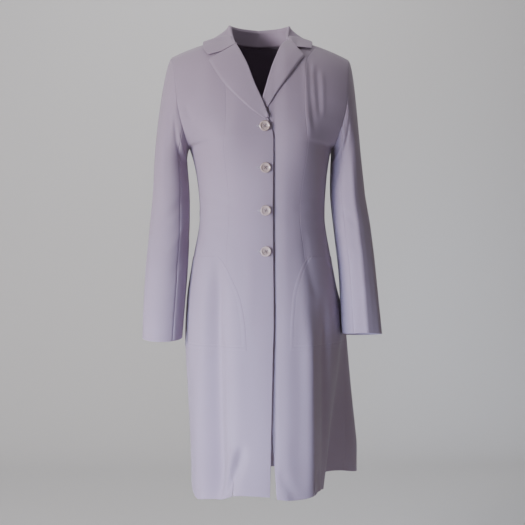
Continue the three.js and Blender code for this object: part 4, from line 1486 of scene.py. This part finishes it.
@dataclass(frozen=True)
class Sleeve:
    """A two-piece sleeve, set into the armhole with a rounded cap."""

    side: Side
    cuff_tilt: float
    front_seam: float = 122.0
    back_seam: float = 245.0
    cap_share: float = 0.36
    clear: float = 0.5
    pull: float = 0.95
    ring_step: float = 0.06
    cuff_turn_up: float = 34.0
    per_degree: float = 0.85
    length: float = 650.0
    crease_end: float = 0.3

    def armhole(self, around: Array) -> tuple[Array, Array]:
        """Find the armhole's edge.

        Args:
            around: Degrees from the sleeve's outside, forwards.

        Returns:
            Points of the edge, and which way the body faces there.
        """
        turned = np.mod(around, 360)
        row = lerp(float(SHOULDER), float(UNDERARM), np.minimum(turned, 360 - turned) / 180)
        ahead = (turned <= 180)[..., None]
        one = np.ones_like(row)
        fore = BODY.point(Face.FRONT, self.side, one, row)
        hind = BODY.point(Face.BACK, self.side, one, row)
        way_fore = BODY.direction(Face.FRONT, self.side, one, row)
        way_hind = BODY.direction(Face.BACK, self.side, one, row)
        return np.where(ahead, fore, hind), np.where(ahead, way_fore, way_hind)

    def ring(self, around: Array, depth: Array) -> Array:
        """Find points of the sleeve below the underarm, 0, down to the cuff, 1."""
        table = SLEEVE_ROWS[self.side]
        numbers = np.linspace(0, 1, len(table.rows))
        value = {name: curve(numbers, table.column(name), depth) for name in RING_COLUMNS}
        turn = np.radians(around)
        x = value["x"] + value["wide"] * np.cos(turn)
        y = value["y"] - value["deep"] * np.sin(turn)
        tilt = self.cuff_tilt * smooth(depth * 1.2 - 0.2) * np.sin(turn)
        return points(self.side.value * x, y, value["z"] - tilt)

    def crease(self, around: Array, down: Array) -> Array:
        """Add up the sleeve's soft creases at a place.

        Args:
            around: Degrees from its outside, forwards.
            down: From the armhole, 0, to the cuff, 1.

        Returns:
            How far out the creases move the cloth.
        """
        out = np.zeros(np.broadcast(around, down).shape)
        turned = np.mod(around + 90, 360) - 90
        for a0, d0, a1, d1, breadth, far in SLEEVE_CREASES[self.side].rows:
            start = np.array([a0 * self.per_degree, d0 * self.length])
            run = np.array([a1 * self.per_degree, d1 * self.length]) - start
            length = float(np.linalg.norm(run))
            run = run / length
            x = turned * self.per_degree - start[0]
            y = down * self.length - start[1]
            t = (x * run[0] + y * run[1]) / length
            aside = x * run[1] - y * run[0]
            ends = smooth(t / self.crease_end + 0.5) * smooth((1 - t) / self.crease_end + 0.5)
            out = out + far * ends * np.exp(-((aside / breadth) ** 2))
        return out

    def point(self, around: Array, down: Array) -> Array:
        """Find points of the sleeve.

        Args:
            around: Degrees from its outside, forwards.
            down: From the armhole, 0, to the cuff, 1.

        Returns:
            Points of its outer face.
        """
        around, down = np.broadcast_arrays(around, down)
        low = self.ring(around, np.clip((down - self.cap_share) / (1 - self.cap_share), 0, 1))
        f = np.clip(down / self.cap_share, 0, 1)[..., None]
        turned = np.mod(around, 360)
        out, forward, fall = (
            CAP_LEAVES.along("around", name, turned) for name in ("out", "forward", "down")
        )
        leave = points(self.side.value * out, -forward, -fall)
        start = self.armhole(around)[0] + unit(leave) * self.clear
        zero = np.zeros_like(down)
        end = self.ring(around, zero)
        arrive = unit(self.ring(around, zero + self.ring_step) - end)
        arrive = arrive * np.linalg.norm(end - start, axis=-1, keepdims=True) * self.pull
        cap = bridge(start, leave, end, arrive, f)
        turn = np.radians(around)
        away = points(self.side.value * np.cos(turn), -np.sin(turn), 0)
        folds = self.crease(around, down) * smooth(down / 0.06)
        return np.where((down >= self.cap_share)[..., None], low, cap) + away * folds[..., None]

    def part(self, name: str, start: float, end: float) -> ClothPiece:
        """Make one of the sleeve's two pieces.

        Args:
            name: The piece's name.
            start: Where it starts, in degrees.
            end: Where it ends, in degrees.

        Returns:
            The shell.
        """
        degrees = start + (end - start) * spaced((end - start) * self.per_degree, 4.0)
        around, down = np.meshgrid(degrees, spaced(self.length, 4.5), indexing="ij")
        turn = np.radians(around)
        hint = points(self.side.value * np.cos(turn), -np.sin(turn), 0.2 * np.cos(turn))
        normals = direction_out(
            lambda u, v: self.point(u * 360, v), around / 360, inset(down), hint
        )
        near = (1 - smooth(down / 0.05))[..., None]
        normals = unit(lerp(normals, self.armhole(around)[1], near))
        seam = Edge(EdgeKind.SEAM, dip=0.8, reach=2.0)
        edges = {
            "start": seam,
            "end": seam,
            "first": Edge(EdgeKind.SEAM, dip=0.9, reach=2.6),
            "last": Edge(EdgeKind.FREE, turn_up=self.cuff_turn_up),
        }
        return ClothPiece(f"{name}_cloth", self.point(around, down), normals, edges)

    def build(self, sewing: Sewing) -> None:
        """Make the top and the under sleeve.

        Args:
            sewing: Adds the pieces.
        """
        own = self.side.name.lower()
        top = self.part(f"top_sleeve_{own}", self.back_seam - 360, self.front_seam)
        sewing.add(top, "hung", (f"back_{own}", f"side_front_{own}"))
        under = self.part(f"under_sleeve_{own}", self.front_seam, self.back_seam)
        sewing.add(under, "hung", (f"top_sleeve_{own}",))


@dataclass
class StitchRun:
    """Stitches along paths, laid by a node tree."""

    name: str
    pitch: float
    length: float
    radius: float
    seed: int = 3
    size_range: tuple[float, float] = (0.92, 1.06)

    def tree(self) -> tuple[bpy.types.NodeTree, dict[str, str]]:
        """Build the node tree.

        Returns:
            The tree, and the identifier of each named input.
        """
        tree = bpy.data.node_groups.new(self.name, "GeometryNodeTree")
        names = {}
        for label, way, kind in (
            ("Paths", "INPUT", "Geometry"),
            ("Pitch", "INPUT", "Float"),
            ("Length", "INPUT", "Float"),
            ("Radius", "INPUT", "Float"),
            ("Seed", "INPUT", "Int"),
            ("Thread", "INPUT", "Material"),
            ("Stitches", "OUTPUT", "Geometry"),
        ):
            socket_type = f"NodeSocket{kind}"
            made = tree.interface.new_socket(name=label, in_out=way, socket_type=socket_type)
            names[label] = made.identifier
        add = tree.nodes.new
        given, result = add("NodeGroupInput"), add("NodeGroupOutput")
        to_curve = add("GeometryNodeMeshToCurve")
        even = add("GeometryNodeResampleCurve")
        even.mode = "LENGTH"
        bead = settle(
            add("GeometryNodeMeshUVSphere"), {"Segments": 6, "Rings": 5, "Radius": 1.0}
        )
        way = settle(add("GeometryNodeInputNamedAttribute"), {"Name": "stitch_way"})
        way.data_type = "FLOAT_VECTOR"
        align = add("FunctionNodeAlignRotationToVector")
        align.axis = "Z"
        half = add("ShaderNodeMath")
        half.operation = "MULTIPLY"
        half.inputs[1].default_value = 0.5
        shape = add("ShaderNodeCombineXYZ")
        vary = add("FunctionNodeRandomValue")
        vary.data_type = "FLOAT"
        floats = [socket for socket in vary.inputs if socket.type == "VALUE" and socket.enabled]
        floats[0].default_value, floats[1].default_value = self.size_range
        drawn = next(k for k, socket in enumerate(vary.outputs) if socket.type == "VALUE")
        scale = add("ShaderNodeVectorMath")
        scale.operation = "SCALE"
        lay = add("GeometryNodeInstanceOnPoints")
        real = add("GeometryNodeRealizeInstances")
        dye = add("GeometryNodeSetMaterial")
        for start, out, end, into in (
            (given, "Paths", to_curve, "Mesh"),
            (to_curve, "Curve", even, "Curve"),
            (given, "Pitch", even, "Length"),
            (even, "Curve", lay, "Points"),
            (bead, "Mesh", lay, "Instance"),
            (way, "Attribute", align, "Vector"),
            (align, "Rotation", lay, "Rotation"),
            (given, "Length", half, 0),
            (given, "Radius", shape, "X"),
            (given, "Radius", shape, "Y"),
            (half, "Value", shape, "Z"),
            (given, "Seed", vary, "Seed"),
            (shape, "Vector", scale, 0),
            (vary, drawn, scale, "Scale"),
            (scale, "Vector", lay, "Scale"),
            (lay, "Instances", real, "Geometry"),
            (real, "Geometry", dye, "Geometry"),
            (given, "Thread", dye, "Material"),
            (dye, "Geometry", result, "Stitches"),
        ):
            tree.links.new(start.outputs[out], end.inputs[into])
        return tree, names

    def build(self, paths: list[tuple[Array, Array]], thread: bpy.types.Material) -> None:
        """Lay stitches on paths and turn them into a plain mesh.

        Args:
            paths: Points in millimetres, and the way each stitch points, for each path.
            thread: The thread's finish.
        """
        places = np.concatenate([path for path, _ in paths]) * MILLIMETRE
        ways = np.concatenate([unit(way) for _, way in paths])
        links = []
        first = 0
        for path, _ in paths:
            links += [(first + k, first + k + 1) for k in range(len(path) - 1)]
            first += len(path)
        mesh = bpy.data.meshes.new(f"{self.name}_path")
        mesh.from_pydata(places.tolist(), links, [])
        attribute = mesh.attributes.new("stitch_way", "FLOAT_VECTOR", "POINT")
        attribute.data.foreach_set("vector", ways.astype(np.float32).ravel())
        path_object = linked(f"{self.name}_path", mesh)
        tree, names = self.tree()
        modifier = path_object.modifiers.new("stitches", "NODES")
        modifier.node_group = tree
        for label, value in (
            ("Pitch", self.pitch * MILLIMETRE),
            ("Length", self.length * MILLIMETRE),
            ("Radius", self.radius * MILLIMETRE),
            ("Seed", self.seed),
            ("Thread", thread),
        ):
            modifier[names[label]] = value
        graph = bpy.context.evaluated_depsgraph_get()
        plain = bpy.data.meshes.new_from_object(path_object.evaluated_get(graph))
        bpy.data.objects.remove(path_object)
        plain.name = self.name
        plain.shade_smooth()
        made = linked(self.name, plain)
        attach(made, "root")
        LOG.info("%s: %d faces", self.name, len(plain.polygons))


@dataclass(frozen=True)
class Pocket:
    """A curved patch pocket, sewn down along its inner edge and foot, open at its top."""

    side: Side
    side_share: float = 0.975
    thickness: float = 0.8
    lift: float = 0.12
    stitch_inset: float = 8.5
    groove: float = 0.42
    sewn_down: float = 0.25

    def surface(self, up: Array, across: Array, lift: float) -> Array:
        """Find points of the pocket a given height off the front."""
        z = lerp(POCKET_EDGE.column("z")[0], POCKET_EDGE.column("z")[-1], up)
        x = POCKET_EDGE.along("z", self.side.name.lower(), z)
        row = BODY.row_at(Face.FRONT, self.side, x, z)
        edge = BODY.share_at(Face.FRONT, self.side, x, row)
        share = lerp(edge, self.side_share, across)
        return BODY.raised(Face.FRONT, self.side, share, row, lift)

    def build(self, sewing: Sewing) -> list[tuple[Array, Array]]:
        """Make the pocket.

        Args:
            sewing: Adds the piece.

        Returns:
            Paths for its topstitching.
        """
        ups, acrosses = spaced(200, 4.0, POCKET_STEPS), spaced(110, 3.0, POCKET_STEPS)
        up, across = np.meshgrid(ups, acrosses, indexing="ij")
        outer = self.surface(up, across, self.lift + self.thickness)
        inner = self.surface(up, across, self.lift)
        normals = unit(outer - inner)
        own = self.side.name.lower()
        free = Edge(EdgeKind.FREE)
        edges = {"start": free, "end": free, "first": free, "last": free}
        piece = ClothPiece(f"pocket_{own}_cloth", outer, normals, edges, thickness=self.thickness)
        far = piece.distances()
        inset = np.minimum(far["first"], far["start"])
        line = np.exp(-(((inset - self.stitch_inset) / 1.3) ** 2))
        sewn = 1 - smooth(np.minimum(inset, far["end"]) / 4.0)
        piece.outer = outer - normals * (self.groove * line + self.sewn_down * sewn)[..., None]
        sewing.add(piece, "laid", (f"front_{own}", f"side_front_{own}"))
        return [self.stitch_path(piece)]

    def stitch_path(self, piece: ClothPiece) -> tuple[Array, Array]:
        """Lead the topstitching along the inner edge and the foot, a little inside.

        Args:
            piece: The pocket's shell.

        Returns:
            The path, and the way each stitch points.
        """
        width = np.linalg.norm(np.diff(piece.outer, axis=1), axis=-1).sum(axis=1)
        height = np.linalg.norm(np.diff(piece.outer, axis=0), axis=-1).sum(axis=0)
        foot = self.stitch_inset / float(height.mean())
        ups = np.linspace(0.995, foot, 60)
        tips = self.stitch_inset / np.interp(ups, np.linspace(0, 1, len(width)), width)
        along_foot = np.linspace(float(tips[-1]), 0.98, 40)[1:]
        up = np.concatenate([ups, np.full_like(along_foot, foot)])
        across = np.concatenate([tips, along_foot])
        path = self.surface(up, across, self.lift + self.thickness - self.groove + 0.1)
        return path, np.gradient(path, axis=0)


@dataclass(frozen=True)
class Button:
    """A glossy four-hole button with a raised rim, sewn on over its buttonhole."""

    number: int
    x: float
    z: float
    seat: float
    turn: float
    radius: float = 11.5
    height: float = 4.0
    hole_radius: float = 1.35
    hole_aside: float = 2.5
    stitch_lift: float = 0.22
    slit_half: float = 1.15
    slit_inner: float = 7.0
    slit_outer: float = 17.5
    strand_aside: float = 0.38

    def axes(self) -> tuple[Array, Array]:
        """Find the button's seat and its three directions: right, up and out."""
        row = BODY.row_at(Face.FRONT, Side.RIGHT, np.array(-self.x), np.array(self.z))
        share = BODY.share_at(Face.FRONT, Side.RIGHT, np.array(-self.x), row)
        out = BODY.direction(Face.FRONT, Side.RIGHT, share, row)
        place = BODY.point(Face.FRONT, Side.RIGHT, share, row) + out * self.seat
        right = unit(np.cross(out, -UP)) * -1
        right = right if right[0] > 0 else -right
        up = np.cross(right, -out)
        up = up if up[2] > 0 else -up
        c, s = math.cos(self.turn), math.sin(self.turn)
        return place, np.array([right * c + up * s, up * c - right * s, out])

    def disc(self) -> tuple[Array, Array, Array]:
        """Turn the button's profile.

        Returns:
            Points in the button's own directions, faces, and the points' numbers ring by ring.
        """
        r, h = self.radius, self.height
        profile = np.array([
            (0.0, 0.0), (r * 0.72, 0.0), (r * 0.86, h * 0.12), (r * 0.97, h * 0.34),
            (r, h * 0.52), (r * 0.985, h * 0.72), (r * 0.94, h * 0.9), (r * 0.88, h * 0.985),
            (r * 0.82, h), (r * 0.75, h * 0.94), (r * 0.68, h * 0.78), (r * 0.62, h * 0.62),
            (r * 0.55, h * 0.54), (r * 0.4, h * 0.51), (r * 0.2, h * 0.5), (0.0, h * 0.5),
        ])
        segments = 64
        angle = np.linspace(0, 2 * math.pi, segments, endpoint=False)
        ring = profile[1:-1]
        x = np.outer(ring[:, 0], np.cos(angle))
        y = np.outer(ring[:, 0], np.sin(angle))
        z = np.repeat(ring[:, 1:2], segments, axis=1)
        grid = points(x, y, z).reshape(-1, 3)
        numbers = np.arange(len(grid)).reshape(len(ring), segments)
        joined = np.concatenate([numbers, numbers[:, :1]], axis=1)
        faces = quads(joined)[:, ::-1]
        return grid, faces, numbers

    def build(self, finishes: Finishes) -> None:
        """Make the button and drill its four holes.

        Args:
            finishes: The jacket's finishes.
        """
        place, axes = self.axes()
        grid, faces, numbers = self.disc()
        listed = [*faces.tolist(), numbers[0].tolist(), numbers[-1, ::-1].tolist()]
        world = (grid @ axes + place) * MILLIMETRE
        mesh = new_mesh(f"button_{self.number}_disc", world, listed)
        mesh.materials.append(finishes.button)
        blank = linked(f"button_{self.number}_disc", mesh)
        outward_faces(mesh)
        drills = self.drills(place, axes)
        cut = blank.modifiers.new("holes", "BOOLEAN")
        cut.operation, cut.solver, cut.object = "DIFFERENCE", "EXACT", drills
        graph = bpy.context.evaluated_depsgraph_get()
        plain = bpy.data.meshes.new_from_object(blank.evaluated_get(graph))
        bpy.data.objects.remove(blank)
        bpy.data.objects.remove(drills)
        plain.shade_smooth()
        plain.set_sharp_from_angle(angle=math.radians(40))
        made = linked(f"button_{self.number}_polished", plain)
        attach(made, "root")
        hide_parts(f"button_{self.number}")
        LOG.info("button_%d: %d faces", self.number, len(plain.polygons))

    def drills(self, place: Array, axes: Array) -> bpy.types.Object:
        """Make four rods to drill the holes with.

        Args:
            place: The button's seat.
            axes: The button's directions.

        Returns:
            One object of four rods.
        """
        angle = np.linspace(0, 2 * math.pi, 20, endpoint=False)
        flat = self.hole_radius * np.stack([np.cos(angle), np.sin(angle)], axis=-1)
        levels = np.array([-self.height, 2 * self.height])
        rods = []
        for corner in ((-1, -1), (1, -1), (1, 1), (-1, 1)):
            x, y = (np.array(corner) * self.hole_aside + flat).T
            rods.append(points(x[None, :], y[None, :], levels[:, None]) @ axes + place)
        mesh = rod_mesh("drills", rods)
        outward_faces(mesh)
        return linked("drills", mesh)

    def threads(self) -> list[Array]:
        """Lead the thread across the holes, twice each way.

        Returns:
            Paths of the strands, in millimetres.
        """
        place, axes = self.axes()
        strands = []
        a = self.hole_aside
        for start, end in (((-a, -a), (a, a)), ((-a, a), (a, -a))):
            run = np.array(end) - np.array(start)
            aside = np.array([-run[1], run[0]]) / np.linalg.norm(run)
            for shift in (-self.strand_aside, self.strand_aside):
                t = np.linspace(0, 1, 13)
                flat = np.array(start) + np.outer(t, run) + aside * shift
                lift = self.height * 0.5 + 1.0 * np.sin(math.pi * t) ** 0.5 - 0.6
                strands.append(points(flat[:, 0], flat[:, 1], lift) @ axes + place)
        return strands

    def hole_paths(self) -> list[tuple[Array, Array]]:
        """Lead the buttonhole's worked edge along both sides of its slit and round its end.

        Returns:
            Paths on the right front, and the way each stitch points.
        """
        t = np.linspace(0, 1, 40)
        inner, outer = self.x + self.slit_inner, self.x - self.slit_outer
        x = np.concatenate([lerp(inner, outer, t), lerp(outer, inner, t)])
        z = self.z + np.repeat([self.slit_half, -self.slit_half], len(t))
        bend = np.concatenate([smooth((t - 0.94) / 0.06), 1 - smooth(t / 0.06)])
        z = lerp(z, self.z, bend * 0.85)
        row = BODY.row_at(Face.FRONT, Side.RIGHT, -x, z)
        path = BODY.over(Face.FRONT, Side.RIGHT, -x, row, self.stitch_lift)
        middle = np.array([outer, 0, self.z])
        ways = np.where((bend > 0.3)[:, None], path - middle, points(0, 0, np.ones_like(x)))
        ways[:, 1] = 0
        return [(path, ways)]


def outward_faces(mesh: bpy.types.Mesh) -> None:
    """Turn a closed mesh's faces outwards."""
    work = bmesh.new()
    work.from_mesh(mesh)
    bmesh.ops.recalc_face_normals(work, faces=work.faces)
    work.to_mesh(mesh)
    work.free()


def rod_mesh(name: str, rods: list[Array]) -> bpy.types.Mesh:
    """Make closed rods from rings of points.

    Args:
        name: The mesh's name.
        rods: For each rod, its rings one after another, in millimetres.

    Returns:
        One mesh of all rods, in metres.
    """
    faces = []
    first = 0
    for rod in rods:
        rings, sides = rod.shape[:2]
        numbers = first + np.arange(rings * sides).reshape(rings, sides)
        faces += quads(np.concatenate([numbers, numbers[:, :1]], axis=1)).tolist()
        faces += [numbers[0].tolist(), numbers[-1, ::-1].tolist()]
        first += rings * sides
    places = np.concatenate([rod.reshape(-1, 3) for rod in rods]) * MILLIMETRE
    return new_mesh(name, places, faces)


def tube(
    name: str, paths: list[Array], radius: float, material: bpy.types.Material
) -> bpy.types.Object:
    """Make thin round strands along paths.

    Args:
        name: The object's name.
        paths: Points of each strand, in millimetres.
        radius: The strands' radius, in millimetres.
        material: Their finish.

    Returns:
        One object of all strands.
    """
    angle = np.linspace(0, 2 * math.pi, 8, endpoint=False)
    strands = []
    for path in paths:
        along = unit(np.gradient(path, axis=0))
        out = unit(np.cross(along, UP + 0.3))
        over = np.cross(along, out)
        strands.append(
            path[:, None]
            + out[:, None] * radius * np.cos(angle)[None, :, None]
            + over[:, None] * radius * np.sin(angle)[None, :, None]
        )
    mesh = rod_mesh(name, strands)
    mesh.materials.append(material)
    outward_faces(mesh)
    mesh.shade_smooth()
    return linked(name, mesh)


BUTTONS = (
    Button(1, x=1, z=-200, seat=0.6, turn=0.1),
    Button(2, x=3, z=-288, seat=0.6, turn=-0.15),
    Button(3, x=4, z=-379, seat=1.5, turn=0.35),
    Button(4, x=4, z=-467, seat=0.7, turn=-0.3),
)


@dataclass(frozen=True)
class Studio:
    """Plain pale floor, soft light, and the camera at the photograph's angle."""

    azimuth: float = -3.6
    distance: float = 2.25
    height: float = -0.490
    lens: float = 68.57
    aside: float = 0.0045
    floor: float = -1.30
    key_power: float = 106.0
    fill_power: float = 1.5
    cool_power: float = 4.8
    side_power: float = 6.5
    wall_power: float = 36.0
    world_light: float = 0.04

    def camera(self) -> None:
        """Make the camera."""
        a = math.radians(self.azimuth)
        back = Vector((math.sin(a), -math.cos(a), 0))
        right = Vector((math.cos(a), math.sin(a), 0))
        data = bpy.data.cameras.new("camera")
        data.lens, data.sensor_width = self.lens, 36.0
        data.sensor_fit = "HORIZONTAL"
        made = linked("camera", data)
        made.location = back * self.distance + right * self.aside + Vector((0, 0, self.height))
        made.rotation_euler = (-back).to_track_quat("-Z", "Y").to_euler()
        bpy.context.scene.camera = made

    def backdrop(self) -> None:
        """Make a pale floor that curves up into a wall behind."""
        finish = PlainFinish("pale_paper", (0.78, 0.78, 0.79), 0.9, specular=0.1).build()
        bend = 0.9
        near, far, top, half = -4.0, 2.6, 3.2, 5.0
        turn = np.linspace(0, math.pi / 2, 24)
        y = np.concatenate([[near], far - bend + bend * np.sin(turn), [far]])
        z = np.concatenate([[0.0], bend - bend * np.cos(turn), [top]]) + self.floor
        x = np.array([-half, half])
        grid = points(x[None, :], y[:, None], z[:, None])
        numbers = np.arange(grid[..., 0].size).reshape(grid.shape[:2])
        made = mesh_object("backdrop", grid.reshape(-1, 3), quads(numbers), finish)

    def lamp(
        self, name: str, place: Vector, aim: Vector, size: float, power: float,
        colour: tuple[float, float, float], spread: float,
    ) -> None:
        """Make a soft lamp.

        Args:
            name: The lamp's name.
            place: Where it stands.
            aim: What it points at.
            size: The side of its square face.
            power: Its power in watts.
            colour: Its colour.
            spread: How widely its light fans out, in degrees.
        """
        data = bpy.data.lights.new(name, "AREA")
        data.spread = math.radians(spread)
        data.shape, data.size = "SQUARE", size
        data.energy, data.color = power, colour
        made = linked(name, data)
        made.location = place
        made.rotation_euler = (aim - place).to_track_quat("-Z", "Y").to_euler()

    def build(self) -> None:
        """Set up the studio."""
        self.camera()
        self.backdrop()
        middle = Vector((0, 0, -0.45))
        low = Vector((0.2, 0, -0.88))
        wall = Vector((0, 2.4, -0.6))
        for name, place, aim, size, power, colour, spread in (
            ("key", (-2.5, -2.0, -0.2), middle, 0.9, self.key_power, (1.0, 0.945, 0.94), 180.0),
            ("fill", (0.0, -2.8, 0.2), middle, 1.6, self.fill_power, (1.0, 0.93, 0.92), 180.0),
            ("cool", (-1.35, -1.85, -0.85), low, 0.7, self.cool_power, (0.60, 0.735, 1.0), 40.0),
            ("side", (2.6, -1.4, -0.7), middle, 1.2, self.side_power, (1.0, 0.94, 0.93), 180.0),
            ("wall", (0.0, 0.6, 1.6), wall, 2.4, self.wall_power, (1.0, 1.0, 1.0), 180.0),
        ):
            self.lamp(name, Vector(place), aim, size, power, colour, spread)
        world = bpy.data.worlds.new("soft")
        world.use_nodes = True
        light = world.node_tree.nodes["Background"]
        light.inputs["Color"].default_value = (1.0, 0.93, 0.88, 1)
        light.inputs["Strength"].default_value = self.world_light
        bpy.context.scene.world = world


def main() -> None:
    """Dress the jacket and set up the studio."""
    logging.basicConfig(level=logging.INFO, format="%(message)s")
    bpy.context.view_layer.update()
    finishes = Finishes(
        cloth=ClothFinish("lilac_crepe", (0.335, 0.268, 0.352)).build(),
        thread=PlainFinish("lilac_thread", (0.47, 0.43, 0.50), 0.6, specular=0.3).build(),
        button=PlainFinish("cream_button", (0.50, 0.39, 0.38), 0.22, coat=0.4).build(),
        tie=PlainFinish("mauve_thread", (0.15, 0.12, 0.14), 0.6, specular=0.2).build(),
    )
    sewing = Sewing(finishes)
    panels = BodyPanels()
    for side in Side:
        panels.build(side, sewing)
    for lapel in LAPELS.values():
        lapel.build(sewing)
    Collar().build(sewing)
    Sleeve(Side.RIGHT, cuff_tilt=7).build(sewing)
    Sleeve(Side.LEFT, cuff_tilt=-5).build(sewing)
    topstitching = []
    for side in Side:
        topstitching += Pocket(side).build(sewing)
    StitchRun("pocket_topstitching", pitch=3.0, length=2.5, radius=0.22).build(
        topstitching, finishes.thread
    )
    holes, strands = [], []
    for button in BUTTONS:
        button.build(finishes)
        holes += button.hole_paths()
        strands += button.threads()
    StitchRun("buttonholes", pitch=0.62, length=2.0, radius=0.3).build(holes, finishes.thread)
    thread = tube("button_thread", strands, 0.32, finishes.tie)
    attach(thread, "root")
    Studio().build()


if __name__ == "__main__":
    main()
